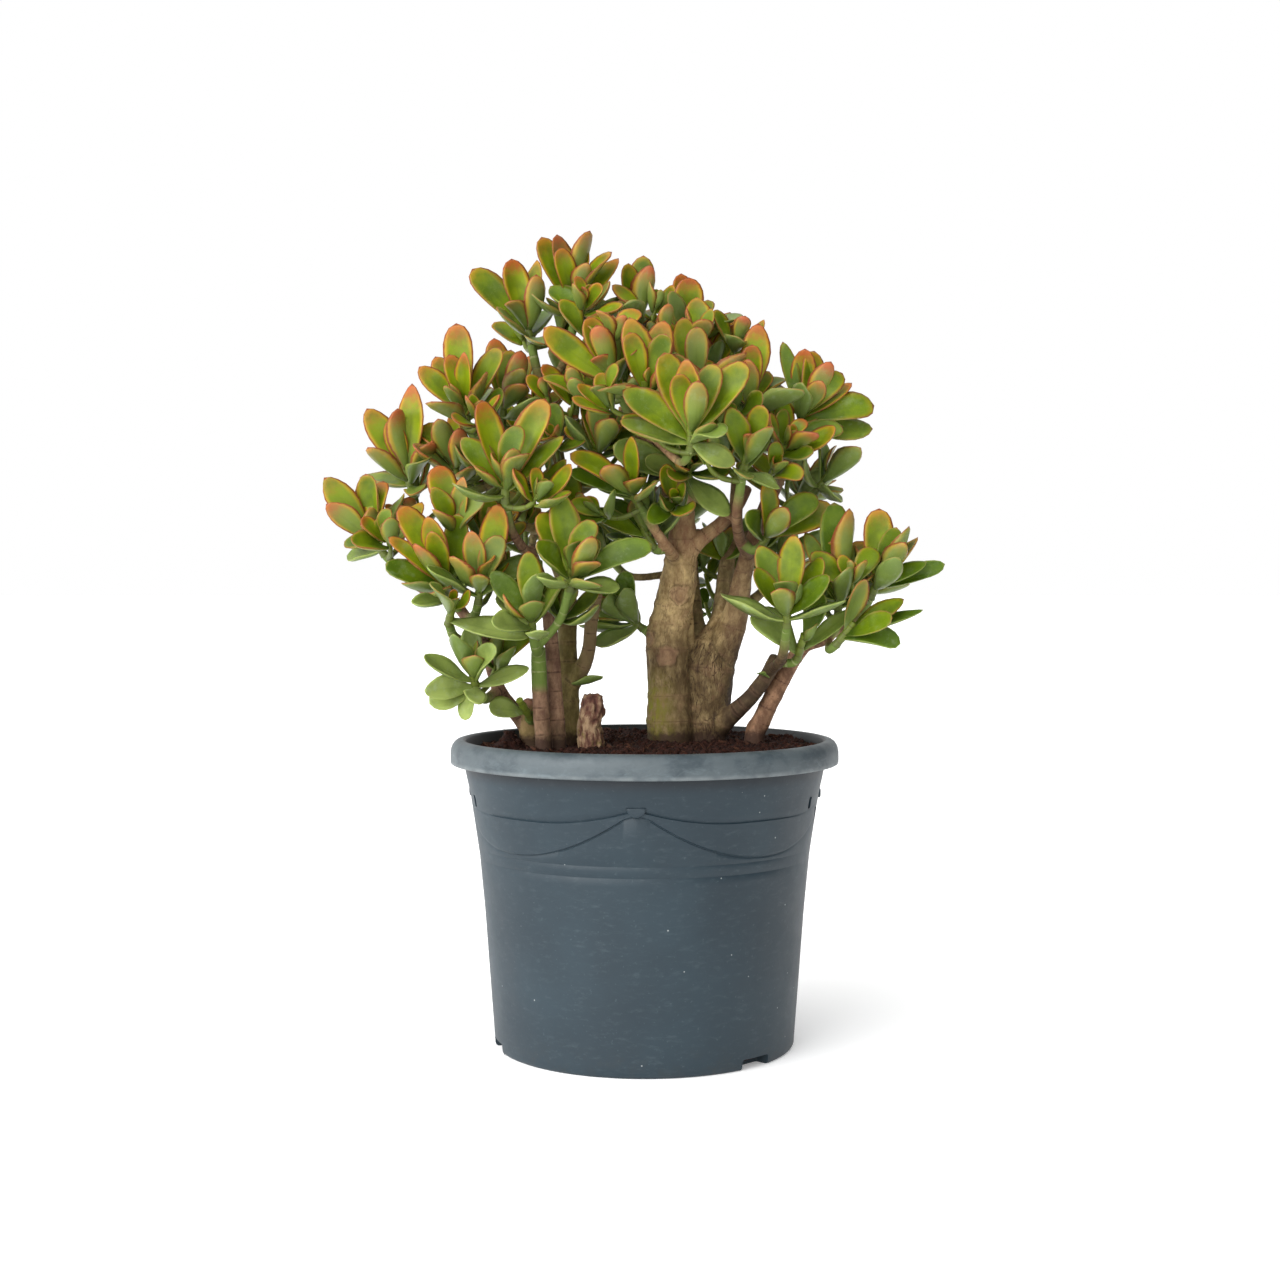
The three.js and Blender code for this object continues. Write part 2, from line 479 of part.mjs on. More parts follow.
function makeStems() {
  return Object.fromEntries(Object.entries(STEMS).map(([name, { limbs, sides }]) => {
    const skeleton = [...limbs];
    const mine = SHOOTS.filter((shoot) => shoot[1] === name);
    for (const shoot of mine) skeleton.push(twigPath(skeleton, limbs.length, shoot));
    const solids = skeleton.map((path, i) => {
      const twigOf = mine[i - limbs.length];
      return twigOf ? limb(path, TWIG_SIDES, 0, axisOf(twigOf)) : limb(path, sides);
    });
    const holes = limbs.filter((path) => path[0][2] === STEM_FOOT).map((path) => {
      const [x, y, , r] = path[0];
      return limb([[x, y, STEM_FOOT - GAP, r], ...path.slice(1, 3)], sides, GAP);
    });
    return [name, { solid: wasm.Manifold.union(solids), holes }];
  }));
}

const CHOICES = 31; // placings tried for each leaf

function growShoots(stems) {
  const wood = Object.values(stems).map(({ solid }) => withBox(solid));
  const pot = withBox(limb([[0, 0, 0, RIM_RADIUS + 2], [0, 0, POT_HEIGHT + 2, RIM_RADIUS + 2]], 24));
  const grown = SHOOTS.map((shoot, number) => {
    const base = baseOf(shoot);
    const top = vec(...shoot[2]).addScaledVector(axisOf(shoot), 2);
    const stem = limb([[...base, TIP_STEM_RADIUS + 0.3], [...top, TIP_STEM_RADIUS - 0.5]], TWIG_SIDES);
    return { shoot, number, at: vec(...shoot[2]), axis: axisOf(shoot), stem: withBox(stem), leaves: [], seen: [] };
  });
  const settle = (one, leaf) => {
    const others = grown.filter((other) => other !== one);
    for (let k = 0; k < CHOICES; k += 1) {
      const place = placed(leaf, one.at, one.axis, k);
      const probe = withBox(blade(place, 0, LEAF_CLEARANCE));
      const outer = withBox(blade(place, 1, 0.1));
      const clear = !wood.some((piece) => crosses(probe, piece)) && !crosses(probe, pot)
        && !others.some((other) => crosses(probe, other.stem) || other.leaves.some((l) => crosses(probe, l)))
        && !one.leaves.some((l) => crosses(outer, l));
      if (clear) {
        one.leaves.push(withBox(blade(place)));
        return;
      }
    }
  };
  for (const one of grown) {
    one.seen = seenLeaves(one.shoot);
    one.seen.forEach((leaf) => settle(one, leaf));
  }
  for (const one of grown) {
    pairedLeaves(one.shoot, one.number, one.axis, one.seen).forEach((leaf) => settle(one, leaf));
  }
  return grown;
}

// ---- peat ---------------------------------------------------------------------------------------
function makeSoil(stems) {
  const sides = 24;
  const ring = (radius, z, rough = 0) => Array.from({ length: sides }, (_, j) => {
    const turn = (2 * Math.PI * (j + 0.5)) / sides;
    const lift = rough * (chance(j, Math.round(radius)) - 0.5);
    return vec(radius * Math.cos(turn), radius * Math.sin(turn), z + lift);
  });
  const inside = (z) => wallRadius(z) - WALL - 3 * GAP;
  const wallRings = [93, 131, 170].map((z) => ring(inside(z), z));
  const topRings = [0.84, 0.56, 0.28].map((part) => {
    const z = SOIL_EDGE + SOIL_MOUND * (1 - part * part);
    return ring(part * inside(187), z, 3.5);
  });
  const edge = ring(inside(187), SOIL_EDGE, 1.5);
  const foot = ring(inside(1) - 2, FLOOR + GAP);
  const body = loft([foot, ...wallRings, edge, ...topRings, [vec(0, 0, SOIL_EDGE + SOIL_MOUND)]]);
  const holes = Object.values(stems).flatMap((stem) => stem.holes);
  const blocks = DRAIN_AZIMUTHS.map((a) => drainBox(a, FOOT_RADIUS + 5, -5, DRAIN.wall + GAP));
  return body.subtract(wasm.Manifold.union([...holes, ...blocks]));
}

// ---- the whole plant ----------------------------------------------------------------------------
const plant = new THREE.Group();
const stems = makeStems();
plant.add(meshOf('pot', makePot(), COLOURS.pot, 0.55));
plant.add(meshOf('soil', makeSoil(stems), COLOURS.soil, 1));
for (const [name, { solid }] of Object.entries(stems)) {
  plant.add(meshOf(name, solid, STEMS[name].colour, 0.9));
}
for (const { shoot, stem, leaves } of growShoots(stems)) {
  const solid = wasm.Manifold.union([stem.solid, ...leaves.map((leaf) => leaf.solid)]);
  plant.add(meshOf(`shoot_${shoot[0]}`, solid, COLOURS.leaf, 0.45));
}

export default plant;
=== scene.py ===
# Potted jade plant. Tables are in millimetres, meshes in metres. The front looks towards -Y.
import json
import math

import bpy
import numpy as np
from mathutils import Euler, Matrix, Vector, noise

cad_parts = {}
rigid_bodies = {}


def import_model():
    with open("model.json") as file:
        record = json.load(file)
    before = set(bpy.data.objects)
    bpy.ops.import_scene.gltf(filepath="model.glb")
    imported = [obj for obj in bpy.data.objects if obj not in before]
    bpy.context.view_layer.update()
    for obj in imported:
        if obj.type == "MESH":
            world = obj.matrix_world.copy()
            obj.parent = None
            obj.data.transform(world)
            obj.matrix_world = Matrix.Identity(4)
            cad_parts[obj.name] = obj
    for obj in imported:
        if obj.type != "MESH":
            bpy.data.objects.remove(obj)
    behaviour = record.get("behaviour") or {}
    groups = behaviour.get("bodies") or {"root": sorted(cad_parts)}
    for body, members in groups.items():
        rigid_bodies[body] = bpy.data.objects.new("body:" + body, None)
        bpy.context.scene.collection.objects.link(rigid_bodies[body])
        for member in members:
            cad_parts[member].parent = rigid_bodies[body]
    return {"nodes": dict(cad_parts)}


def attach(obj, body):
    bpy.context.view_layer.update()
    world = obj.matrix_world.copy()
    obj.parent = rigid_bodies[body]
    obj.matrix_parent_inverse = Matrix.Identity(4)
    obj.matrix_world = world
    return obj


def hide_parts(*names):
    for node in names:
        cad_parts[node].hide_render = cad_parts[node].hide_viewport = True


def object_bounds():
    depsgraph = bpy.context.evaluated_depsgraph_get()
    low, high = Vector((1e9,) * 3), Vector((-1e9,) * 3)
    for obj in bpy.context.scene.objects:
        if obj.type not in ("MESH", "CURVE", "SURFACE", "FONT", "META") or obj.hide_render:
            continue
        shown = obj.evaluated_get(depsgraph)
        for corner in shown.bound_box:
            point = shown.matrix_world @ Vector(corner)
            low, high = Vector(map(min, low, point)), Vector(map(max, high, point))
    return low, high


mm = 0.001
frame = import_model()
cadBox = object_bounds()
print("frame loaded:", len(frame["nodes"]), "nodes")


class Wire:  # one output of a node, with arithmetic
    def __init__(self, kit, socket):
        self.kit, self.socket = kit, socket

    def other(self, name):  # another output of the same node
        return Wire(self.kit, self.socket.node.outputs[name])

    def calc(self, operation, *values):
        return self.kit.add("ShaderNodeMath", {"operation": operation}, dict(enumerate(values)))

    def __add__(self, value):
        return self.calc("ADD", self, value)

    def __sub__(self, value):
        return self.calc("SUBTRACT", self, value)

    def __rsub__(self, value):
        return self.calc("SUBTRACT", value, self)

    def __mul__(self, value):
        return self.calc("MULTIPLY", self, value)

    def __pow__(self, value):
        return self.calc("POWER", self, value)

    def most(self, value):
        return self.calc("MAXIMUM", self, value)

    def away(self, place):  # distance from this value
        return self.calc("ABSOLUTE", self - place)

    def fade(self, start, end):  # 0 at start and below, 1 at end and above, also where end is the lower one
        return self.kit.add("ShaderNodeMapRange", {"interpolation_type": "SMOOTHSTEP"},
                            {"Value": self, "From Min": start, "From Max": end})

    __radd__ = __add__
    __rmul__ = __mul__


class Kit:  # adds nodes to one tree
    def __init__(self, tree):
        self.tree = tree

    def add(self, kind, settings=None, sockets=None):
        node = self.tree.nodes.new(kind)
        for name, value in (settings or {}).items():
            setattr(node, name, value)
        for name, value in (sockets or {}).items():
            live = [s for s in node.inputs if s.enabled]
            socket = live[name] if isinstance(name, int) else next(s for s in live if s.name == name)
            for one in value if isinstance(value, list) else [value]:
                if isinstance(one, Wire):
                    self.tree.links.new(one.socket, socket)
                else:
                    socket.default_value = one
        outputs = [s for s in node.outputs if s.enabled]
        return Wire(self, outputs[0]) if outputs else None

    def mix(self, factor, a, b, how="MIX"):
        return self.add("ShaderNodeMix", {"data_type": "RGBA", "blend_type": how},
                        {"Factor": factor, "A": a, "B": b})

    def split(self, attribute):  # the three numbers of a vector attribute
        vector = self.add("ShaderNodeAttribute", {"attribute_name": attribute}).other("Vector")
        parts = self.add("ShaderNodeSeparateXYZ", {}, {"Vector": vector})
        return parts, parts.other("Y"), parts.other("Z")

    def spot(self, scale=(1, 1, 1)):  # place on the piece, stretched
        return self.stretch(self.add("ShaderNodeTexCoord").other("Object"), scale)

    def stretch(self, vector, scale):
        return self.add("ShaderNodeMapping", {}, {"Vector": vector, "Scale": scale})

    def clouds(self, vector, size, detail=4.0, rough=0.55, bend=0.0):  # noise with spots of this size, 0 to 1
        return self.add("ShaderNodeTexNoise", {}, {
            "Vector": vector, "Scale": 1 / size, "Detail": detail, "Roughness": rough, "Distortion": bend})

    def cells(self, vector, size, feature="F1"):
        return self.add("ShaderNodeTexVoronoi", {"feature": feature}, {"Vector": vector, "Scale": 1 / size})

    def bump(self, height, depth, strength=1.0):
        return self.add("ShaderNodeBump", {}, {"Height": height, "Distance": depth, "Strength": strength})


def paint(red, green, blue):  # a colour as the photograph shows it, 0 to 255
    def linear(part):
        part /= 255
        return part / 12.92 if part <= 0.04045 else ((part + 0.055) / 1.055) ** 2.4
    return linear(red), linear(green), linear(blue), 1.0


def paints(table):  # the colours of a table of looks
    return {key: paint(*value) for key, value in table.items()
            if isinstance(value, tuple) and key != "zones"}


def makeMaterial(name, sockets):
    material = bpy.data.materials.new(name)
    material.use_nodes = True
    material.node_tree.nodes.clear()
    kit = Kit(material.node_tree)
    shader = kit.add("ShaderNodeBsdfPrincipled", {}, sockets(kit))
    kit.add("ShaderNodeOutputMaterial", {}, {"Surface": shader})
    return material


def chance(a, b):  # a repeatable number from 0 to 1
    value = math.sin(a * 12.9898 + b * 78.233) * 43758.5453
    return value - math.floor(value)


def makeMesh(name, points, faces, attributes=None):
    mesh = bpy.data.meshes.new(name)
    mesh.from_pydata([tuple(p) for p in points], [], faces)
    for key, values in (attributes or {}).items():
        addVectors(mesh, key, values)
    mesh.shade_smooth()
    return mesh


def addVectors(mesh, name, values):
    mesh.attributes.new(name, "FLOAT_VECTOR", "POINT").data.foreach_set(
        "vector", np.asarray(values, np.float32).ravel())


def readPoints(mesh):
    flat = np.empty(len(mesh.vertices) * 3, np.float32)
    mesh.vertices.foreach_get("co", flat)
    return flat.reshape(-1, 3).astype(float)


def readNormals(mesh):
    flat = np.empty(len(mesh.vertices) * 3, np.float32)
    mesh.vertex_normals.foreach_get("vector", flat)
    return flat.reshape(-1, 3).astype(float)


def putInScene(name, mesh):
    piece = bpy.data.objects.new(name, mesh)
    bpy.context.scene.collection.objects.link(piece)
    return piece


def settle(piece):  # the evaluated shape becomes the mesh, and no modifier is left
    bpy.context.view_layer.update()
    evaluated = piece.evaluated_get(bpy.context.evaluated_depsgraph_get())
    mesh = bpy.data.meshes.new_from_object(evaluated)
    piece.modifiers.clear()
    old, piece.data = piece.data, mesh
    bpy.data.meshes.remove(old)
    mesh.name = piece.name
    return piece


def handOver(piece, slot, nodes=()):
    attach(piece, "root")
    if nodes:
        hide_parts(*nodes)


def rings(count, rows, firstPole=None, lastPole=None):  # faces of a tube of rows with count points each
    faces = []
    for row in range(rows - 1):
        for j in range(count):
            a, b = row * count + j, row * count + (j + 1) % count
            faces.append((a, b, b + count, a + count))
    if firstPole is not None:
        faces += [(firstPole, (j + 1) % count, j) for j in range(count)]
    if lastPole is not None:
        start = (rows - 1) * count
        faces += [(lastPole, start + j, start + (j + 1) % count) for j in range(count)]
    return faces


def noiseAt(points, size, seed=0.0, octaves=3):  # -1 to 1 for each point, in metres
    shift = Vector((seed, seed * 1.7, -seed))
    return np.array([noise.fractal(Vector(p) / size + shift, 1.0, 2.0, octaves) for p in points])


def addTree(name, inputs):  # a geometry tree with named inputs
    tree = bpy.data.node_groups.new(name, "GeometryNodeTree")
    tree.interface.new_socket("Geometry", in_out="OUTPUT", socket_type="NodeSocketGeometry")
    for label, kind in [("Geometry", "Geometry"), *inputs]:
        tree.interface.new_socket(label, in_out="INPUT", socket_type="NodeSocket" + kind)
    kit = Kit(tree)
    given = kit.add("NodeGroupInput")
    return tree, kit, given.other


def growWith(piece, tree, values):  # adds the tree as a modifier with its inputs set, and settles it
    modifier = piece.modifiers.new(tree.name, "NODES")
    modifier.node_group = tree
    for item in tree.interface.items_tree:
        if item.in_out == "INPUT" and item.name in values:
            modifier[item.identifier] = values[item.name]
    return settle(piece)


potShape = {
    "columns": 360, "wall": 2.0, "floor": 2.5, "floorRings": (60.0, 90.0),
    "stations": ((0, 102.0), (93, 108.8), (131, 112.4), (170, 118.2), (187.5, 122.0)),  # height, radius
    "foot": 2.4,  # rounding under the wall
    "collar": (0.05, 125.0),  # slope of the wall above the last station, and its largest radius
    "inside": (187.5, 175, 150, 131, 93, 40, 5),  # heights of the rows of the inner wall
    "lip": ((122.8, 204.5), (129, 204.5), (129.4, 203), (130, 193.1), (130.4, 192.55), (131.2, 192.5),
            (131.8, 192.9), (132, 193.8), (132, 197), (131.95, 200.2), (131.6, 202.6), (130.8, 204.8),
            (129.5, 206.7), (127.9, 207.9), (126.2, 208.4), (124.4, 208.5), (123, 208.4), (122.2, 207.9),
            (121.8, 206.9)),  # radius, height
    "firstNode": -2.6, "nodeStep": 90.0,  # degrees from the front at which the swags meet
    "swagTop": (163.3, 9.7, 32.0),  # lowest height, rise at the meeting points, degrees to the lowest stretch
    "swagFoot": (140.0, 33.0, 45.0),
    "bands": (136.7, 129.3),
    "relief": 0.55, "groove": 0.5,
}
drain = {  # pockets at the foot: inset of the block behind the wall, its lift, and how far the cut runs past
    "azimuths": (45, 165, 285), "width": 25.0, "depth": 11.0, "height": 7.0, "wall": 2.0,
    "inset": 1.4, "lift": 0.6, "past": 5.0, "under": 12.0, "round": 1.6,
}
button = {"radius": 6.2, "z": 174.5, "out": 1.7, "deep": 2.2}
slots = (  # degrees from the front node, width, share of it left at the foot, lowest and highest
    (70.0, 5.0, 1.0, 165.4, 173.4), (105.4, 7.0, 1.0, 165.4, 173.4), (83.4, 20.0, 0.15, 152.0, 164.4))


def wallRadius(z):
    heights, radii = zip(*potShape["stations"])
    return np.interp(z, heights, radii)


def swagLine(azimuth, lowest, rise, reach, power):
    step = potShape["nodeStep"]
    away = np.abs((azimuth - potShape["firstNode"] + step / 2) % step - step / 2)
    return lowest + rise * np.clip(1 - away / reach, 0, 1) ** power


def wallRows(azimuth):  # (height, relief) of each row of the wall at the azimuths, from the foot up
    away = np.abs((azimuth - potShape["firstNode"] + 180) % 360 - 180)
    faint = 1 - 0.85 * np.clip((45 - np.abs(away - 90)) / 20, 0, 1)  # the swags are shallow at the sides
    lower = swagLine(azimuth, *potShape["swagFoot"], 2.1)
    upper = swagLine(azimuth, *potShape["swagTop"], 2.0)
    lower = np.minimum(lower, upper - 3.6)
    up, cut = potShape["relief"] * faint, -potShape["groove"] * faint
    keys = [(2.4, 0, 26)]
    for band in reversed(potShape["bands"]):
        keys += [(band - 0.8, 0, 1), (band - 0.3, cut * 0.7, 1)]
        keys += [(band + 0.1, cut * 0.7, 1), (band + 0.7, 0, 2)]
    keys += [(lower - 1.3, 0, 1), (lower - 0.8, cut, 1), (lower - 0.35, cut, 1), (lower + 0.35, up, 1),
             (lower + 1.5, up, 12),
             (upper - 1.3, up, 1), (upper - 0.6, up, 1), (upper - 0.1, cut, 1), (upper + 0.35, cut, 1),
             (upper + 1.1, 0, 10), (potShape["lip"][0][1], 0, 1)]
    rows = []
    for (z0, h0, count), (z1, h1, _) in zip(keys, keys[1:]):
        rows += [(z0 + (z1 - z0) * i / count, h0 + (h1 - h0) * i / count) for i in range(count)]
    return rows


def potProfile(azimuth):  # (radius, height) of every row, from under the middle round to the inner floor
    foot, wall, floor = potShape["foot"], potShape["wall"], potShape["floor"]
    slope, widest = potShape["collar"]
    top = potShape["stations"][-1][0]
    turns = np.radians((0, 22, 45, 68))
    rows = [(radius, 0) for radius in potShape["floorRings"]]
    rows += [(wallRadius(0) - foot + foot * math.sin(t), foot - foot * math.cos(t)) for t in turns]
    rows += [(np.minimum(wallRadius(np.minimum(z, top)) + slope * np.maximum(z - top, 0) + relief, widest), z)
             for z, relief in wallRows(azimuth)]
    rows += potShape["lip"]
    rows += [(wallRadius(z) - wall, z) for z in potShape["inside"]]
    return rows + [(wallRadius(2) - wall - 1.5, floor), (potShape["floorRings"][0], floor)]


def facing(azimuth):  # turns what looks to the front towards the azimuth
    return Matrix.Rotation(math.radians(azimuth), 4, "Z")


def makeBlock(name, size, place, azimuth, round_=0.0, foot=1.0):  # rounded block, sizes in millimetres
    mesh = bpy.data.meshes.new(name)
    half = Vector(size) / 2
    corners = [Vector((x * half.x * (foot if z < 0 else 1), y * half.y, z * half.z)) + Vector(place)
               for z in (-1, 1) for y in (-1, 1) for x in (-1, 1)]
    faces = [(0, 2, 3, 1), (4, 5, 7, 6), (0, 1, 5, 4), (2, 6, 7, 3), (0, 4, 6, 2), (1, 3, 7, 5)]
    mesh.from_pydata([facing(azimuth) @ (p * mm) for p in corners], [], faces)
    block = putInScene(name, mesh)
    if round_:
        bevel = block.modifiers.new("round", "BEVEL")
        bevel.width, bevel.segments = round_ * mm, 3
        settle(block)
    return block


def fuse(piece, other, operation):
    boolean = piece.modifiers.new(operation, "BOOLEAN")
    boolean.operation, boolean.object, boolean.solver = operation, other, "EXACT"
    settle(piece)
    bpy.data.objects.remove(other)


def makeButton(azimuth):  # half-round boss where two swags meet, domed a little
    radius, steps = button["radius"], 14
    levels = ((-button["deep"], 1.0), (0.9, 1.0), (1.4, 0.94), (1.65, 0.82), (button["out"], 0.55))
    wall = float(wallRadius(button["z"] - 4))
    count = steps + 1
    points = []
    for out, share in levels:
        reach, z = share * radius, button["z"] - 0.3 * (1 - share) * radius
        for j in range(count):
            turn = math.pi + math.pi * j / steps
            points.append((reach * math.cos(turn), -(wall + out), z + reach * math.sin(turn)))
    faces = rings(count, len(levels))
    faces += [tuple(reversed(range(count))), tuple(range((len(levels) - 1) * count, len(levels) * count))]
    mesh = makeMesh("button", [facing(azimuth) @ (Vector(p) * mm) for p in points], faces)
    return putInScene("button", mesh)


def addDrain(pot, azimuth):  # a walled pocket that opens outwards and downwards
    wall, top, under = drain["wall"], drain["height"], drain["under"]
    foot = potShape["stations"][0][1]
    inside, back, past = foot - drain["depth"], foot - drain["inset"], foot + drain["past"]
    size = (drain["width"] + 2 * wall, back - inside + wall, top + wall - drain["lift"])
    place = (0, -(back + inside - wall) / 2, (top + wall + drain["lift"]) / 2)
    fuse(pot, makeBlock("block", size, place, azimuth), "UNION")
    size, place = (drain["width"], past - inside, top + under), (0, -(past + inside) / 2, (top - under) / 2)
    fuse(pot, makeBlock("cut", size, place, azimuth, drain["round"]), "DIFFERENCE")


def makePot():
    azimuths = np.linspace(0, 360, potShape["columns"], endpoint=False)
    turns = np.radians(azimuths)
    rows = []
    for radius, z in potProfile(azimuths):
        rows.append(np.stack([radius * np.sin(turns), -radius * np.cos(turns), z + 0 * turns], 1))
    points = np.concatenate([*rows, [[0, 0, 0]], [[0, 0, potShape["floor"]]]]) * mm
    count = len(rows) * len(turns)
    mesh = makeMesh("pot_shell", points, rings(len(turns), len(rows), count, count + 1))
    pot = putInScene("pot_shell", mesh)
    for azimuth in drain["azimuths"]:
        addDrain(pot, azimuth)
    for i in range(4):
        fuse(pot, makeButton(potShape["firstNode"] + i * potShape["nodeStep"]), "UNION")
    for away, width, foot, low, high in slots:
        for side in (-1, 1):
            size, place = (width, 8, high - low), (0, -118, (low + high) / 2)
            azimuth = potShape["firstNode"] + side * away
            fuse(pot, makeBlock("slot", size, place, azimuth, 1.2, foot), "DIFFERENCE")
    pot.data.shade_smooth()
    pot.data.set_sharp_from_angle(angle=math.radians(50))
    return pot


potLook = {
    "slate": (32, 49, 58), "deep": (25, 41, 50), "haze": (96, 108, 113), "lip": (76, 85, 89),
    # shade: the painted shade under the lip
    "shade": (24, 30, 37),
    # inside: the painted shade on the inner wall above the soil
    "speck": (156, 162, 162), "dirt": (44, 46, 45), "inside": (21, 22, 23), "lipHeight": 192.4,
}


def potPlastic(kit):
    look = paints(potLook)
    east = kit.add("ShaderNodeSeparateXYZ", {}, {"Vector": kit.spot()})
    height = east.other("Z")
    radius = (east * east + east.other("Y") * east.other("Y")) ** 0.5
    lip = height.fade((potLook["lipHeight"] - 0.4) * mm, potLook["lipHeight"] * mm)
    clouds = kit.clouds(kit.spot(), 70 * mm, 5)
    colour = kit.mix(clouds.fade(0.35, 0.7), look["deep"], look["slate"])
    dust = kit.clouds(kit.spot((1, 1, 3)), 9 * mm, 8, 0.7).fade(0.5, 0.85) * 0.22
    colour = kit.mix(dust, colour, look["haze"])
    # painted shade: a dark band on the wall just under the lip
    colour = kit.mix(height.fade(182 * mm, 191 * mm) * 0.75, colour, look["shade"])
    colour = kit.mix(lip, colour, look["lip"])
    blotches = kit.clouds(kit.spot((1, 1, 1.6)), 26 * mm, 6, 0.62).fade(0.42, 0.66)
    colour = kit.mix(lip * blotches * 0.6, colour, look["deep"])
    scuffs = kit.clouds(kit.spot((1, 1, 2.4)), 10 * mm, 9, 0.76, 0.6).fade(0.46, 0.74)
    lowLip = height.fade(203 * mm, 195 * mm)
    colour = kit.mix(lip * scuffs * (lowLip * 0.5 + 0.25), colour, look["haze"])
    # painted highlight: a pale broken line along the lip's rounded lower edge
    lipEdgeHighlight = lip * height.fade(196 * mm, 193.5 * mm) * kit.clouds(kit.spot(), 24 * mm, 4, 0.6).fade(0.3, 0.7)
    colour = kit.mix(lipEdgeHighlight * 0.3, colour, look["speck"])
    # painted shade: the inner face of the rim darkened almost to black
    inner = lip * radius.fade(124.2 * mm, 122.8 * mm)
    colour = kit.mix(inner * 0.92, colour, look["inside"])
    specks = kit.cells(kit.spot(), 13 * mm).fade(0.052, 0.03)
    colour = kit.mix(specks * 0.75, colour, look["speck"])
    grit = kit.clouds(kit.spot(), 2.2 * mm, 2).fade(0.66, 0.76)
    colour = kit.mix(grit * 0.16, colour, look["haze"])
    foot = height.fade(26 * mm, 0.0) * kit.clouds(kit.spot(), 14 * mm, 6, 0.7).fade(0.45, 0.75)
    colour = kit.mix(foot * 0.5, colour, look["dirt"])
    fine = kit.clouds(kit.spot((1, 1, 0.35)), 0.9 * mm, 3)
    rough = kit.clouds(kit.spot(), 18 * mm, 6, 0.65) * 0.22 + 0.40 + specks * 0.2
    return {"Base Color": colour, "Roughness": rough, "Specular IOR Level": 0.42,
            "Normal": kit.bump(fine + scuffs * lip * 0.8, 0.06 * mm, 0.6)}


pot = makePot()
pot.data.materials.clear()
pot.data.materials.append(makeMaterial("slatePlastic", potPlastic))
handOver(pot, "pot", ["pot"])
print("pot:", len(pot.data.polygons), "faces")


peatShape = {
    "edge": 200.0, "mound": 5.0, "rings": 100, "columns": 380, "grain": 0.009,
    "heaps": (  # x, y, height, spread
        (-91, -18, 13, 75), (-74, -58, 3.5, 90), (-20, 98, 4, 900), (30, 100, 4, 900), (75, 84, 3.5, 800),
        (104, 44, 4, 500)),
}
peatLook = {"dark": (20, 10, 8), "warm": (52, 25, 18), "dust": (80, 48, 36), "fibre": (96, 62, 44)}


def peatHeight(x, y):  # millimetres
    rim = float(wallRadius(187)) - potShape["wall"] - 1
    share = min(1.0, math.hypot(x, y) / rim)
    spot = Vector((x, y, 0)) * mm
    lumps = noise.fractal(spot / 0.021, 1.0, 2.0, 3) * 1.6
    grain = noise.fractal(spot / peatShape["grain"] + Vector((7, 0, 0)), 0.6, 2.1, 4) * 1.1
    heap = sum(high * math.exp(-((x - x0) ** 2 + (y - y0) ** 2) / spread)
               for x0, y0, high, spread in peatShape["heaps"])
    rough = (lumps + grain) * (1 - share ** 8 + 0.12 * heap)
    return peatShape["edge"] + peatShape["mound"] * (1 - share * share) + rough + heap


def makePeat():
    count = peatShape["columns"]
    turns = np.linspace(0, 2 * math.pi, count, endpoint=False)
    inner = potShape["wall"] + 1
    rows = []
    for z, less in ((4, 4), (40, 0), (93, 0), (131, 0), (170, 0), (193, 0)):
        radius = float(wallRadius(z)) - inner - less
        rows.append([(radius * math.cos(t), radius * math.sin(t), z) for t in turns])
    rim = float(wallRadius(187)) - inner + 1
    for i in range(peatShape["rings"]):
        radius = rim * (1 - i / peatShape["rings"])
        level = [(radius * math.cos(t), radius * math.sin(t)) for t in turns]
        rows.append([(x, y, peatHeight(x, y)) for x, y in level])
    points = np.array([p for row in rows for p in row] + [(0, 0, 4), (0, 0, peatHeight(0, 0))]) * mm
    poles = len(rows) * count
    return putInScene("peat", makeMesh("peat", points, rings(count, len(rows), poles, poles + 1)))


def makeLump(name, seed):  # small irregular clod
    gold = (1 + math.sqrt(5)) / 2
    corners = [Vector(p).normalized() for a in (-1, 1) for b in (-gold, gold)
               for p in ((0, a, b), (a, b, 0), (b, 0, a))]
    points = [p * (0.72 + 0.5 * chance(seed, i)) for i, p in enumerate(corners)]
    faces = []
    for i in range(12):
        for j in range(i + 1, 12):
            for k in range(j + 1, 12):
                sides = [(corners[i] - corners[j]).length, (corners[j] - corners[k]).length,
                         (corners[k] - corners[i]).length]
                if max(sides) < 1.2:
                    way = (corners[j] - corners[i]).cross(corners[k] - corners[i])
                    faces.append((i, j, k) if way.dot(corners[i]) > 0 else (i, k, j))
    return makeMesh(name, points, faces)


def makeFibre(name, seed):  # bent strand one unit long
    points = []
    for i in range(7):
        s = i / 6 - 0.5
        side = 0.16 * math.sin(2.4 * s + 5 * chance(seed, 1))
        rise = 0.12 * math.cos(5 * s + 6 * chance(seed, 2))
        centre = Vector((s, side, rise))
        thick = 0.028 * (1 - 1.6 * abs(s)) + 0.006
        points += [centre + Vector((0, thick * math.cos(t), 0.7 * thick * math.sin(t)))
                   for t in (0.3, 2.4, 4.5)]
    faces = rings(3, 7) + [(0, 2, 1), (18, 19, 20)]
    return makeMesh(name, points, faces)


def makeChip(name, seed):  # flat splinter of bark
    points = []
    for z in (-0.09, 0.09):
        for j in range(7):
            turn = 2 * math.pi * j / 7
            reach = 0.42 + 0.2 * chance(seed, j)
            points.append((reach * 1.35 * math.cos(turn), reach * 0.7 * math.sin(turn),
                           z + 0.12 * chance(seed, j + 9)))
    return makeMesh(name, points, [tuple(reversed(range(7))), tuple(range(7, 14)),
                                   *[(j, (j + 1) % 7, 7 + (j + 1) % 7, 7 + j) for j in range(7)]])


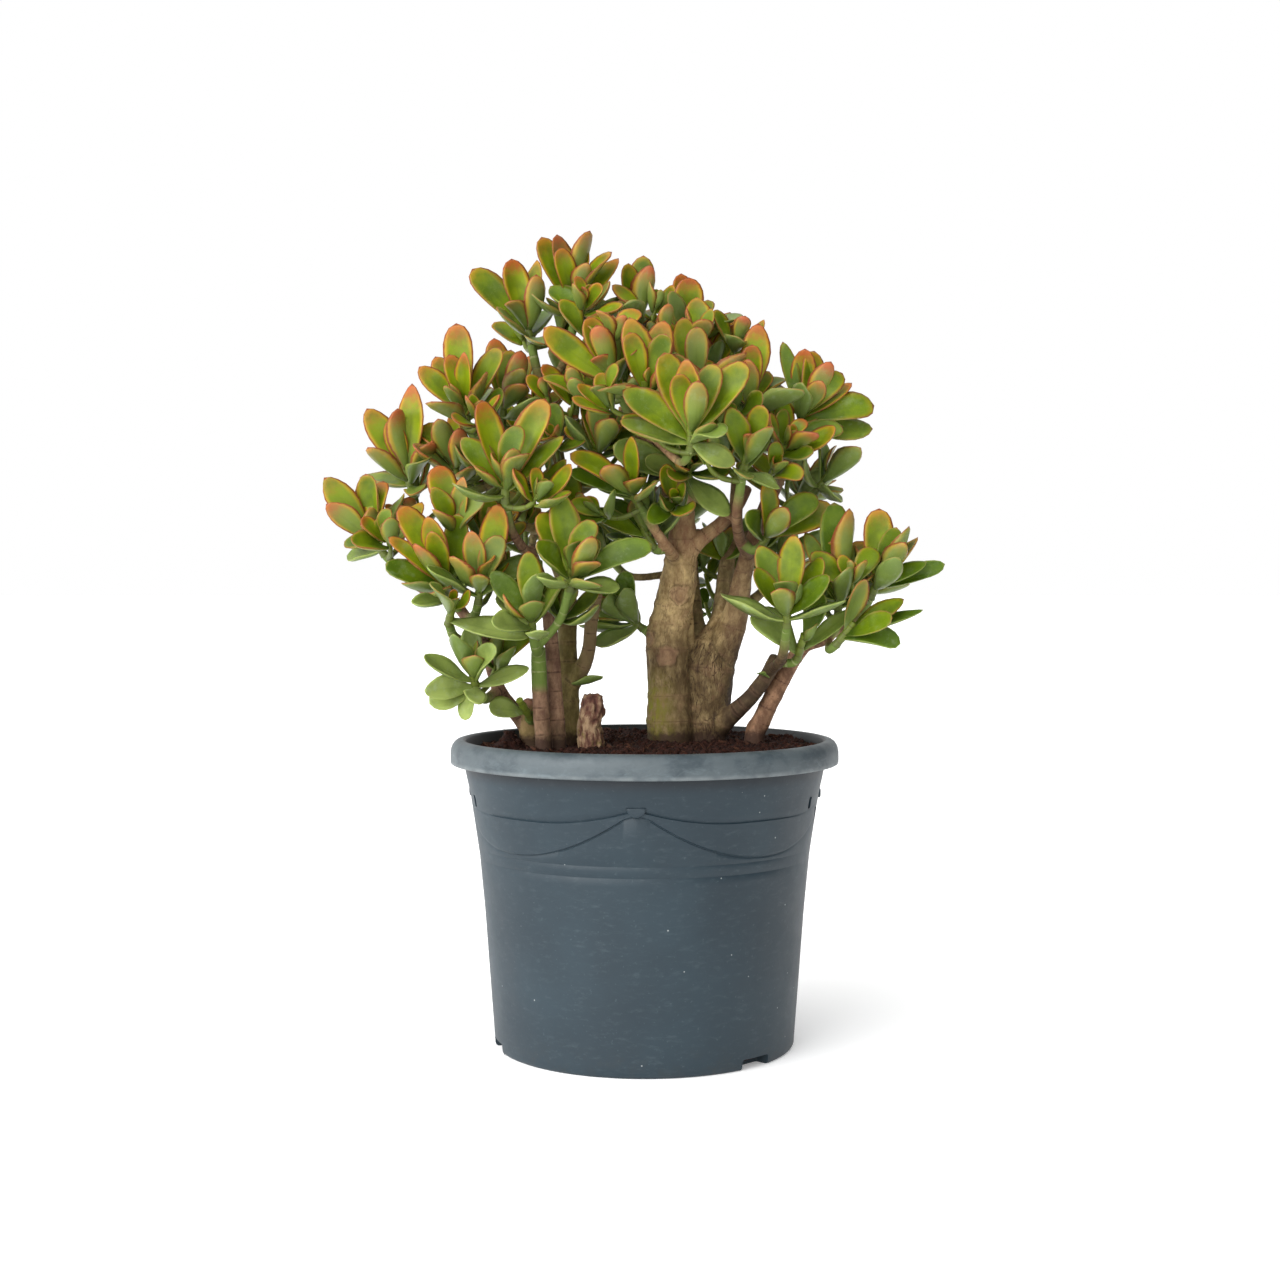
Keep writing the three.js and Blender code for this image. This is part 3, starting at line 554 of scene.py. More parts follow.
def litterTree():  # strews the shapes of a collection over the upward faces
    tree, kit, given = addTree("peatLitter", [
        ("Shapes", "Collection"), ("Per square metre", "Float"), ("Smallest", "Float"), ("Largest", "Float"),
        ("Tilt", "Float"), ("Seed", "Int"), ("Finish", "Material")])
    normal = kit.add("GeometryNodeInputNormal")
    upward = kit.add("ShaderNodeSeparateXYZ", {}, {"Vector": normal}).other("Z")
    place = kit.add("ShaderNodeSeparateXYZ", {}, {"Vector": kit.add("GeometryNodeInputPosition")}).other("Z")
    top = kit.add("FunctionNodeBooleanMath", {"operation": "AND"}, {
        0: upward.calc("GREATER_THAN", upward, 0.5), 1: place.calc("GREATER_THAN", place, 0.195)})
    points = kit.add("GeometryNodeDistributePointsOnFaces", {}, {
        "Mesh": given("Geometry"), "Selection": top,
        "Density": given("Per square metre"), "Seed": given("Seed")})
    shapes = kit.add("GeometryNodeCollectionInfo", {}, {
        "Collection": given("Shapes"), "Separate Children": True, "Reset Children": True})
    tilt = kit.add("ShaderNodeCombineXYZ", {}, {"X": given("Tilt"), "Y": given("Tilt"), "Z": math.pi})
    flat = kit.add("ShaderNodeVectorMath", {"operation": "SCALE"}, {0: tilt, "Scale": -1.0})
    turn = kit.add("FunctionNodeRandomValue", {"data_type": "FLOAT_VECTOR"}, {
        "Min": flat, "Max": tilt, "Seed": given("Seed")})
    size = kit.add("FunctionNodeRandomValue", {"data_type": "FLOAT"}, {
        "Min": 0.0, "Max": 1.0, "Seed": given("Seed")}) ** 2.5
    spread = kit.add("ShaderNodeMapRange", {}, {
        "Value": size, "To Min": given("Smallest"), "To Max": given("Largest")})
    placed = kit.add("GeometryNodeInstanceOnPoints", {}, {
        "Points": points, "Instance": shapes, "Pick Instance": True, "Rotation": turn, "Scale": spread})
    real = kit.add("GeometryNodeRealizeInstances", {}, {"Geometry": placed})
    done = kit.add("GeometryNodeSetMaterial", {}, {"Geometry": real, "Material": given("Finish")})
    kit.add("NodeGroupOutput", {}, {"Geometry": done})
    return tree


def peatSkin(warmth, pale):
    def sockets(kit):
        look = paints(peatLook)
        clumps = kit.clouds(kit.spot(), 7 * mm, 6, 0.7)
        colour = kit.mix(clumps.fade(0.3, 0.72), look["dark"], look["warm"])
        crumbs = kit.cells(kit.spot(), 1.6 * mm)
        colour = kit.mix(crumbs.fade(0.55, 0.1) * 0.5, colour, look["warm"])
        specks = kit.clouds(kit.spot(), 1.3 * mm, 3).fade(0.62, 0.74)
        colour = kit.mix(specks * pale, colour, look["dust"])
        colour = kit.mix(warmth, colour, look["fibre"])
        height = clumps + crumbs * 0.5
        return {"Base Color": colour, "Roughness": 0.95, "Specular IOR Level": 0.2,
                "Normal": kit.bump(height, 1.0 * mm, 0.8)}
    return sockets


def gather(name, meshes):  # hidden collection of shapes to strew
    group = bpy.data.collections.new(name)
    for mesh in meshes:
        group.objects.link(bpy.data.objects.new(mesh.name, mesh))
    return group


def discard(group):
    for shape in list(group.objects):
        bpy.data.objects.remove(shape)
    bpy.data.collections.remove(group)


def strew(name, tree, group, material, **values):
    bed = putInScene(name, peat.data.copy())
    growWith(bed, tree, {"Shapes": group, "Finish": material, **values})
    discard(group)
    handOver(bed, "soil")
    print(name + ":", len(bed.data.polygons), "faces")


peat = makePeat()
litter = litterTree()
strew("peat_crumbs", litter, gather("crumbShapes", [makeLump(f"clod{i}", i + 3) for i in range(5)]),
      makeMaterial("peatCrumb", peatSkin(0.06, 0.25)),
      **{"Per square metre": 70000.0, "Smallest": 0.6 * mm, "Largest": 2.7 * mm, "Tilt": 3.1, "Seed": 4})
strew("peat_fibres", litter, gather("fibreShapes", [makeFibre(f"fibre{i}", i + 3) for i in range(5)]),
      makeMaterial("peatFibre", peatSkin(0.55, 0.6)),
      **{"Per square metre": 16000.0, "Smallest": 5 * mm, "Largest": 17 * mm, "Tilt": 0.45, "Seed": 9})
strew("bark_chips", litter, gather("chipShapes", [makeChip(f"chip{i}", i + 3) for i in range(5)]),
      makeMaterial("barkChip", peatSkin(0.38, 0.5)),
      **{"Per square metre": 2600.0, "Smallest": 2.5 * mm, "Largest": 8 * mm, "Tilt": 0.6, "Seed": 12})
peat.data.materials.append(makeMaterial("peatBed", peatSkin(0.0, 0.35)))
handOver(peat, "soil", ["soil"])
print("peat:", len(peat.data.polygons), "faces")


stemFoot = 150.0
stemPlan = {  # the solids' skeleton: finish, then limbs as (x, y, z, radius) from the root outwards
    "trunk_right": ("bark", [
        [(17.5, 20, stemFoot, 14.5), (17.5, 20, 204, 15.8), (16.5, 20, 240, 14.2), (15.8, 20, 275, 14.2),
         (20, 19, 298, 13.2), (23.5, 17, 316, 12.6), (26, 15, 338, 10.5), (26, 12, 368, 8), (27, 4, 400, 6.2),
         (30, -8, 425, 5)],
        [(43, 30, stemFoot, 14), (43, 30, 206, 14.6), (44.5, 31, 240, 16.8), (46.5, 33, 262, 16.6),
         (51, 36, 278, 10.5), (54, 39, 294, 6.6), (58, 44, 326, 5.6), (64, 48, 360, 5), (66, 46, 395, 4.4)],
        [(52, 30, 262, 10), (58, 26, 277, 10), (62, 24, 288, 9), (65, 21, 300, 8), (69.5, 18, 326, 6.2),
         (80, 8, 358, 5.4), (92, 0, 388, 4.8), (100, -4, 408, 4)],
        [(27, 14, 333, 6.5), (38, 12, 344, 5.6), (50, 10, 353, 5), (62, 6, 365, 4.6), (70, 0, 380, 4)],
        [(38, 40, 262, 8), (37.5, 43, 284, 5.4), (36, 48, 300, 4.6), (34, 58, 325, 4.4), (32, 72, 350, 4.2),
         (30, 80, 385, 4.2)],
        [(50, 26, 214, 8), (63, 14, 226, 6), (73, 8, 236, 5.4), (83, 2, 250, 5.1), (90, -4, 264, 4.8)]]),
    "stem_right": ("bark", [
        [(76, 18, stemFoot, 6), (76, 18, 205, 7.2), (81, 17, 219, 6.6), (90, 14, 239, 6.4),
         (101, 8, 260, 5.8), (112, 1, 275, 4.6)]]),
    "trunk_left": ("olive_bark", [
        [(-54, 6, stemFoot, 9), (-54, 6, 204, 11.4), (-54, 6, 220, 10), (-53, 6, 245, 8), (-53, 6, 268, 6.8),
         (-53, 7, 300, 6.6), (-54, 8, 330, 6.4), (-57, 8, 375, 6.2), (-60, 4, 400, 5.4), (-64, 2, 425, 4.6)],
        [(-52, 4, 244, 6.5), (-43, 0, 256, 5.5), (-38, -3, 269, 4.8), (-36, -8, 288, 4.5),
         (-32, -14, 308, 4)],
        [(-52, 8, 305, 5.5), (-62, 32, 330, 4.6), (-72, 54, 358, 4)]]),
    "stem_brown": ("brown_bark", [
        [(-58, -25, stemFoot, 5), (-58, -25, 206, 5.6), (-60, -25, 238, 5.2), (-62, -25, 270, 4.9),
         (-66, -30, 305, 4.5), (-76, -40, 338, 4)]]),
    "stem_ringed": ("brown_bark", [
        [(-67, -37, stemFoot, 5), (-67, -37, 206, 5.8), (-69, -38, 232, 5.5), (-70, -41, 258, 5.2),
         (-70, -46, 272, 4.6)]]),
    "stem_outer": ("brown_bark", [
        [(-74, -12, stemFoot, 5), (-75, -12, 204, 6.4), (-82, -16, 220, 5.4), (-97, -28, 243, 4.6),
         (-105, -36, 270, 4.3), (-114, -40, 286, 4), (-126, -36, 302, 3.8)],
        [(-76, -13, stemFoot, 6), (-76, -13, 206, 8.6), (-77, -16, 219, 8.2), (-77, -18, 230, 7.2),
         (-76, -19, 236, 4.6)]]),
    "stump": ("brown_bark", [
        [(-36, -21, stemFoot, 7.5), (-36, -21, 205, 8.6), (-37, -21, 218, 7.4), (-35, -21, 230, 8.2),
         (-36, -20, 239, 5.6)]]),
}
twigShape = {"tipStem": 17.0, "gap": 0.35, "radius": 3.1, "reach": 34.0, "lowest": 226.0, "young": 26.0}

# Leafy shoots: the stem they grow from, where the leaves meet, the way they point, and the tips of the leaves
# seen from the front as (across, up, depth sign, width) from the meeting point. Pairs fill the rest,
# except on bare ones.
shootPlan = {
    "left_tip": ("stem_outer", (-185, -20, 347), (-0.6, -0.1, 0.8), [
        (-30, 38, 0), (-8, 42, 1), (1, 42), (17, 37, 1), (-27, 20), (-19, -14, 1)]),
    "left_high": ("stem_outer", (-163, 0, 393), (-0.3, 0, 1), [
        (-26, 40, 1), (-18, 33), (-10, 44, 1), (5, 57, 0), (17, 35), (12, -18, -1)]),
    "left_crown": ("trunk_left", (-122, -20, 436), (-0.2, -0.2, 1), [
        (-4, 52, 0, 21), (-16, 32), (-29, 23), (-31, 36, 1), (3, 31), (25, 36, 1), (18, 17)]),
    "left_inner": ("trunk_left", (-96, 10, 441), (0.1, 0, 1), [
        (-7, 41, 1), (0, 37), (15, 36, 1), (22, 30, 0), (22, 22)]),
    "left_front": ("stem_brown", (-90, -70, 383), (0, -0.3, 1), [
        (-15, 49, 0, 20), (-28, 25), (10, 32), (26, 50, 0, 21), (38, 26, 0)]),
    "left_peak": ("trunk_left", (-81, 10, 495), (-0.2, 0, 1), [
        (-37, 34, 0, 22), (-10, 41, 1), (6, 44, 0), (8, 27), (-18, 3), (12, -20)]),
    "top": ("trunk_left", (-47, 0, 509), (0.05, 0, 1), [
        (-23, 40, 0), (-10, 30), (-10, 44, 1), (0, 43, 0), (14, 45, 1), (5, 34), (27, 31), (31, 36, 1),
        (25, 11)]),
    "mid_pink": ("trunk_right", (-21, -50, 453), (-0.3, -0.3, 1), [
        (-45, 28, 0), (-16, 35), (-10, 27), (-3, 40, 1), (5, 40, 0)]),
    "mid_front": ("trunk_right", (0, -70, 442), (-0.1, -0.4, 1), [
        (-10, 43, 1), (-10, 32), (6, 50, 0), (13, 37, 0)]),
    "mid_back": ("trunk_right", (-6, 10, 497), (0, 0.1, 1), [(-5, 36), (5, 45, 0), (14, 35, 1)]),
    "peak_right": ("trunk_right", (31, 10, 488), (0, 0, 1), [(-1, 34, -1, 21), (-19, 23), (-6, 38, 1)]),
    "mid_red": ("trunk_right", (34, -34, 450), (0, -0.2, 1), [(0, 32), (-9, 40, 1)]),
    "right_crown": ("trunk_right", (46, 20, 463), (0.3, 0, 1), [(11, 34), (19, 27), (9, 47, 0), (36, 28, 0)]),
    "centre": ("trunk_right", (29, -90, 415), (0, -0.5, 1), [
        (-17, 45, 0, 21), (-8, 30), (4, 25), (-4, 43, 1), (11, 42, 1), (35, 39, 0, 21), (-43, 22, 0),
        (-45, 2, 0, 20), (28, -26, 0)]),
    "centre_low": ("trunk_right", (66, -70, 398), (0.2, -0.5, 1), [
        (-12, 28), (9, 29), (12, 15), (-5, -16), (21, -23, 0)]),
    "right_twig": ("trunk_right", (71, -20, 440), (0.1, -0.1, 1), [(-3, 21), (0, 32), (5, 48, 0)]),
    "right_high": ("trunk_right", (109, -10, 433), (0.4, -0.1, 1), [
        (-16, 44, 0, 11), (-3, 41), (3, 41, 1), (14, 36, 1), (22, 27), (31, 21, 1), (46, 1, 0, 22),
        (49, -9, -1, 22), (-5, 13)]),
    "right_mid": ("trunk_right", (95, -34, 408), (0.4, -0.6, 0.8), [(30, 7, -1, 20), (12, -11), (-14, 14)]),
    "right_out": ("trunk_right", (127, 6, 390), (0.6, 0, 0.8), [
        (18, 15), (-20, 8), (-8, 30, 1), (4, -20)], "bare"),
    "right_bright": ("trunk_right", (85, -30, 351), (0.5, -0.5, 0.8), [
        (30, 21, -1, 18), (42, 26, 0), (-19, 9), (-6, 30), (8, 12)], "bare"),
    "right_low_high": ("stem_right", (129, -30, 310), (0, -0.1, 1), [
        (-3, 58, 0), (9, 57, 1), (-21, 42, 0, 12), (12, 40), (-1, 34)]),
    "right_low_tip": ("stem_right", (157, -30, 320), (0.4, -0.1, 1), [
        (-1, 44, 0), (5, 37), (16, 39, 1), (17, 28), (25, 25, 1), (29, 17), (43, 7, 0, 11), (8, 11)]),
    "right_low_front": ("trunk_right", (93, -60, 302), (0, -0.4, 1), [
        (4, 44, 0), (17, 38, 1), (27, 28, -1, 20), (-23, 21), (-18, 40, 0)]),
    "right_low_broad": ("trunk_right", (105, -40, 279), (0.2, -0.5, 0.9), [
        (-48, 0, -1, 24), (46, 4, -1, 13), (10, 30)], "bare"),
    "right_low_out": ("stem_right", (136, -50, 287), (0.6, -0.3, 0.8), [
        (30, -12), (23, 5), (34, 17, 0), (47, 10, 0, 12), (6, 30)], "bare"),
    "left_low": ("stem_outer", (-132, -50, 318), (-0.4, -0.3, 1), [
        (-28, 47, 1), (-18, 43, 0), (-23, 32), (-16, 22), (-6, 30), (10, 42, 0), (-38, 9), (-39, 31, 0, 12),
        (0, -8), (-16, -17)]),
    "left_low_inner": ("stem_outer", (-107, -60, 318), (0.1, -0.3, 1), [(-4, 30), (11, 30), (15, 50, 0, 22)]),
    "left_foot": ("stem_outer", (-82, -44, 236), (-0.3, -0.7, 0.6), [(-21, -3, 0, 17)], "bare"),
    "left_between": ("trunk_left", (-132, 0, 400), (-0.3, -0.3, 0.9), [
        (-6, 24), (10, 22), (16, -8), (-22, 6)]),
    "left_droop": ("stem_outer", (-124, -72, 299), (0.2, -0.7, 0.6), [(49, -20, 0, 23), (-12, 18)], "bare"),
    "left_pale": ("stem_ringed", (-74, -70, 297), (-0.1, -0.4, 1), [
        (-25, 25), (-1, 38), (-23, -7), (8, -12)]),
    "left_bottom": ("stem_outer", (-113, -60, 258), (-0.2, -0.5, 0.9), [
        (-29, 9), (-9, 24), (23, 15), (38, 1, 0, 16), (-29, -13), (5, -20), (-27, -22, -1, 21),
        (-3, -35, 0, 13)]),
    "left_centre": ("stem_ringed", (-47, -80, 326), (0.1, -0.4, 1), [
        (-8, 47, 0, 20), (-23, 35, 1), (-21, 14), (15, 28), (14, 18), (52, 13, 0, 17), (-18, -8),
        (31, -15, 0)]),
    "left_big": ("stem_outer", (-125, -40, 356), (0, -0.2, 1), [
        (-12, 36, -1, 20), (10, 26), (19, 13), (-17, 13)]),
    "gap_upper": ("trunk_right", (-12, -50, 379), (-0.5, -0.4, 0.8), [
        (-37, 20, 0), (-40, 7, 0, 12), (4, 30), (-14, 10)]),
    "gap_lower": ("trunk_right", (-2, -20, 353), (-0.5, -0.2, 0.9), [(-33, 10), (-18, -15), (10, 22)]),
    "inner_left": ("trunk_left", (-30, -20, 410), (0.1, -0.3, 1), [(-1, 30), (10, 12), (-22, 14)]),
    "trunk_side": ("trunk_right", (-15, 24, 293), (-0.8, 0.1, 0.6), [
        (-18, -22, -1, 20), (1, 18), (-10, 8), (2, 30)]),
    "trunk_top": ("trunk_right", (30, -40, 392), (0.1, -0.8, 0.5), [
        (30, -33, 0), (-30, 4, 0), (-51, 13, 0, 21)]),
    "behind_right": ("trunk_right", (66, 66, 335), (0.2, 0.4, 0.9), [(-16, 14), (10, 16), (18, 2)]),
    "back_1": ("trunk_left", (-125, 62, 392), (-0.4, 0.4, 1), []),
    "back_2": ("trunk_left", (-78, 92, 425), (-0.1, 0.4, 1), []),
    "back_3": ("trunk_left", (-92, 96, 352), (-0.3, 0.6, 0.8), []),
    "back_4": ("trunk_left", (-48, 62, 462), (0, 0.3, 1), []),
    "back_5": ("trunk_right", (-14, 92, 415), (-0.2, 0.4, 1), []),
    "back_6": ("trunk_right", (30, 112, 440), (0, 0.4, 1), []),
    "back_7": ("trunk_right", (78, 92, 420), (0.3, 0.4, 1), []),
    "back_8": ("trunk_right", (114, 58, 385), (0.5, 0.3, 0.9), []),
    "back_9": ("trunk_right", (20, 122, 360), (0, 0.6, 0.8), []),
    "back_10": ("trunk_right", (-30, 104, 345), (-0.3, 0.5, 0.8), []),
    "back_11": ("trunk_right", (104, 76, 332), (0.5, 0.5, 0.7), []),
}


def sideways(direction, before):  # two directions square to this one, turned little from the one before
    side = (before - direction * before.dot(direction)).normalized()
    return side, direction.cross(side).normalized()


def axisOf(shoot):
    return Vector(shoot[2]).normalized()


def baseOf(shoot):
    return Vector(shoot[1]) - axisOf(shoot) * twigShape["tipStem"]


def twigRoot(skeleton, limbCount, base):  # the place on a stem from which a twig best reaches the base
    best = None
    for order, path in enumerate(skeleton):
        for p, q in list(zip(path, path[1:]))[:None if order < limbCount else -1]:
            for t in (0, 0.25, 0.5, 0.75):
                spot = [a + (b - a) * t for a, b in zip(p, q)]
                start = Vector(spot[:3])
                level = math.hypot(base.x - start.x, base.y - start.y)
                cost = (start - base).length + 1.5 * max(0.0, start.z - base.z + 0.6 * level)
                if start.z > twigShape["lowest"] and (best is None or cost < best[0]):
                    best = (cost, start, spot[3])
    return best[1], best[2]


def twigPath(skeleton, limbCount, shoot):
    base, axis = baseOf(shoot), axisOf(shoot)
    start, thick = twigRoot(skeleton, limbCount, base)
    end = base - axis * twigShape["gap"]
    bend = end - axis * (0.45 * (start - base).length)
    steps = max(2, math.floor((start - base).length / twigShape["reach"] + 0.5))
    first = min(thick * 0.8, 4.6)
    path = []
    for i in range(steps + 1):
        t = i / steps
        place = start * (1 - t) ** 2 + bend * (2 * t * (1 - t)) + end * t * t
        path.append((*place, first + (twigShape["radius"] - first) * t))
    return path


woodShape = {
    "step": 1.6, "voxel": 1.15, "soften": 3, "collar": 0.22,
    "ringGap": (5.5, 1.35),  # millimetres between leaf scars, plus this much per millimetre of radius
    "ringSwell": 0.06, "lumps": 0.05, "fissure": 0.1,
    "scars": ((24.6, 6.5, 306, 6.4), (15.8, 4, 264, 7.4), (3.4, 14, 276, 6.2)),  # x, y, z, size
    "crotch": [(30.5, 30, 255, 6), (30.5, 31, 272, 5.2), (31, 33, 290, 3.6), (31.5, 35, 302, 2)],
}


def smoothPath(path, step):  # points of a rounded line through the path, with their radii
    knots = np.array([path[0], *path, path[-1]], float)
    knots[0], knots[-1] = 2 * knots[1] - knots[2], 2 * knots[-2] - knots[-3]
    line = []
    for i in range(1, len(knots) - 2):
        p0, p1, p2, p3 = knots[i - 1:i + 3]
        count = max(2, round(float(np.linalg.norm((p2 - p1)[:3])) / step))
        for t in np.arange(count) / count:
            line.append(0.5 * (2 * p1 + (p2 - p0) * t + (2 * p0 - 5 * p1 + 4 * p2 - p3) * t ** 2
                               + (3 * p1 - p0 - 3 * p2 + p3) * t ** 3))
    line.append(knots[-2])
    return np.array(line)


def limbFrames(line):  # direction and two sides at every point
    ways = np.gradient(line[:, :3], axis=0)
    frames, side = [], Vector((1, 0.2, 0.1))
    for way in ways:
        direction = Vector(way).normalized()
        side, other = sideways(direction, side)
        frames.append((direction, side, other))
    return np.array(frames)


def limbTube(line, frames, count):  # closed tube round a line
    turns = np.linspace(0, 2 * math.pi, count, endpoint=False)
    points = []
    for row, (_, u, v) in zip(line, frames):
        points += [row[:3] + row[3] * (math.cos(t) * u + math.sin(t) * v) for t in turns]
    total = len(points)
    points += [line[0, :3], line[-1, :3]]
    return points, rings(count, len(line), total, total + 1)


def stemLimbs(name):  # every limb and twig of a stem: line, frames, whether it is a twig
    limbs = stemPlan[name][1]
    skeleton = [list(path) for path in limbs]
    for shoot in shootPlan.values():
        if shoot[0] == name:
            skeleton.append(twigPath(skeleton, len(limbs), shoot))
    made = []
    for order, path in enumerate(skeleton):
        line = smoothPath(path, woodShape["step"])
        run = np.concatenate([[0], np.cumsum(np.linalg.norm(np.diff(line[:, :3], axis=0), axis=1))])
        if path[0][2] != stemFoot:
            line[:, 3] *= 1 + woodShape["collar"] * np.exp(-run / (1.6 * path[0][3]))
        made.append((line, limbFrames(line), run, order >= len(limbs)))
    if name == "trunk_right":  # bark that has grown together between two limbs
        line = smoothPath(woodShape["crotch"], woodShape["step"])
        made.append((line, limbFrames(line), line[:, 2] - line[0, 2], False))
    return made


def ringDistance(run, radius, seed):  # distance to the nearest leaf scar along a limb
    first, more = woodShape["ringGap"]
    gap = first + more * radius
    place = run / gap
    cell = np.floor(place)
    best = np.full(len(run), 1e3)
    for near in (-1, 0, 1):
        shift = np.modf(np.abs(np.sin((cell + near) * 12.9 + seed * 3.7)) * 437.5)[0]
        best = np.minimum(best, np.abs(place - (cell + near + 0.2 + 0.6 * shift)) * gap)
    return best


def woodMesh(name):  # limbs fused into one skin, with bark relief and what the bark's colours follow
    limbs = stemLimbs(name)
    points, faces = [], []
    for line, frames, _, _ in limbs:
        tube, sides = limbTube(line, frames, 28 if line[:, 3].max() > 8 else 14)
        faces += [tuple(i + len(points) for i in side) for side in sides]
        points += tube
    skin = putInScene(name + "_wood", makeMesh(name, np.array(points) * mm, faces))
    remesh = skin.modifiers.new("fuse", "REMESH")
    remesh.mode, remesh.voxel_size = "VOXEL", woodShape["voxel"] * mm
    soften = skin.modifiers.new("soften", "SMOOTH")
    soften.factor, soften.iterations = 0.5, woodShape["soften"]
    settle(skin)
    places, normals = readPoints(skin.data) / mm, readNormals(skin.data)
    samples = np.concatenate([line for line, _, _, _ in limbs])
    frames = np.concatenate([f for _, f, _, _ in limbs])
    runs = np.concatenate([run for _, _, run, _ in limbs])
    limbOf = np.concatenate([np.full(len(run), i) for i, (_, _, run, _) in enumerate(limbs)])
    tip = np.concatenate([run[-1] - run if twig else 0 * run + 99 for _, _, run, twig in limbs])
    nearest = np.empty(len(places), int)
    for start in range(0, len(places), 4000):
        part = places[start:start + 4000]
        gaps = np.linalg.norm(part[:, None] - samples[None, :, :3], axis=2) - samples[None, :, 3]
        nearest[start:start + 4000] = gaps.argmin(1)
    offset = places - samples[nearest, :3]
    way, u, v = (frames[nearest, i] for i in range(3))
    run = runs[nearest] + (offset * way).sum(1)
    radius = samples[nearest, 3]
    flow = np.stack([(offset * u).sum(1), (offset * v).sum(1), run], 1) * mm
    flow[:, 2] += limbOf[nearest] * 0.37
    ring = ringDistance(run, radius, limbOf[nearest] + 1)
    youth = np.clip(1 - tip[nearest] / twigShape["young"], 0, 1)
    scar = np.full(len(places), 9.0)
    push = radius * woodShape["ringSwell"] * np.exp(-(ring / (0.35 + 0.16 * radius)) ** 2)
    push -= 0.3 * np.exp(-(ring / 0.7) ** 2)
    push += radius * woodShape["lumps"] * noiseAt(places * mm, 0.013, len(name))
    grain = noiseAt(flow * np.array((1, 1, 0.22)), 0.0042, 3, 2)
    push += woodShape["fissure"] * np.clip(radius / 9, 0.25, 1) * grain * (1 - youth)
    if name == "trunk_right":
        for x, y, z, size in woodShape["scars"]:
            away = np.linalg.norm(places - np.array((x, y, z)), axis=1) / size
            away += 0.35 * noiseAt(places * mm, 0.007, 4, 3)
            scar = np.minimum(scar, away)
            push += 0.7 * np.exp(-((away - 0.8) / 0.3) ** 2) - 0.4 * np.exp(-(away / 0.45) ** 2)
    tone = np.zeros(len(places))  # above 0 pale cut wood, below 0 green
    if name == "stump":
        folds = noiseAt(flow * np.array((1.5, 1.5, 0.4)), 0.0042, 5, 4)
        folds += 0.7 * noiseAt(places * mm, 0.0065, 8, 3)
        push += 1.8 * folds * np.clip((places[:, 2] - 198) / 10, 0, 1)
        # the stump's tone is how far its folds stand out; its colour follows it, partly its own and partly
        # painted shade in the hollows
        tone = np.clip(0.5 + 0.9 * folds, 0, 1)
    if name == "stem_outer":
        tone = (limbOf[nearest] == 1).astype(float)
    if name == "stem_ringed":
        tone = -np.clip((places[:, 2] - 240) / 9, 0, 1)
    places = (places + normals * push[:, None]) * mm
    skin.data.vertices.foreach_set("co", places.astype(np.float32).ravel())
    skin.data.update()
    addVectors(skin.data, "flow", flow)
    addVectors(skin.data, "marks", np.stack([ring, youth, scar], 1))
    addVectors(skin.data, "girth", np.stack([radius, places[:, 2] / mm, tone], 1))
    skin.data.shade_smooth()
    return skin


barkLook = {  # zones: where x, y and z set in (None: everywhere), colour, share
    "bark": {
        "light": (212, 184, 130), "dark": (142, 116, 78), "crack": (58, 42, 28), "moss": (132, 132, 32),
        "mossTop": 262, "mossLeft": 26, "mossShare": 0.8,
        "zones": (
            # the first zone darkens the trunk towards the bottom: painted shade
            (None, None, (300, 258), (66, 50, 28), 0.82),
            (None, None, (326, 338), (142, 98, 76), 0.65),
            (None, (31, 36), (268, 284), (72, 64, 34), 0.8),
            ((53, 59), (33, 29), (260, 278), (96, 68, 50), 0.75),
            ((49, 58), None, (250, 238), (62, 46, 34), 0.75),
            ((58, 64), None, (274, 264), (58, 44, 32), 0.72)),
    },
    "pink_bark": {
        "light": (164, 126, 96), "dark": (108, 78, 58), "crack": (64, 44, 34), "moss": (112, 100, 60),
        "mossTop": 150, "mossLeft": 300, "mossShare": 0.3, "zones": (),
    },
    "olive_bark": {
        "light": (150, 134, 84), "dark": (92, 80, 42), "crack": (52, 42, 26), "moss": (74, 70, 26),
        "mossTop": 150, "mossLeft": 300, "mossShare": 0.3,
        "zones": (
            (None, None, (224, 262), (78, 68, 26), 0.65),
            (None, None, (240, 214), (140, 122, 74), 0.28),
            ((-46, -41), None, (244, 252), (122, 100, 74), 0.64)),
    },
    "brown_bark": {
        "light": (150, 118, 92), "dark": (98, 70, 54), "crack": (56, 38, 30), "moss": (112, 116, 70),
        "mossTop": 232, "mossLeft": 300, "mossShare": 0.3, "zones": (),
    },
}
scarLook = {"scar": (144, 106, 84), "core": (164, 132, 86), "cut": (158, 138, 82), "cutTop": (186, 132, 112),
            "dirt": (52, 32, 24)}
youngLook = {"green": (84, 108, 36), "pale": (116, 132, 66), "joint": (154, 158, 106)}
stumpLook = {"cream": (170, 142, 110), "maroon": (104, 68, 54), "dark": (52, 30, 24), "foot": (126, 112, 60),
             "top": (100, 62, 54)}


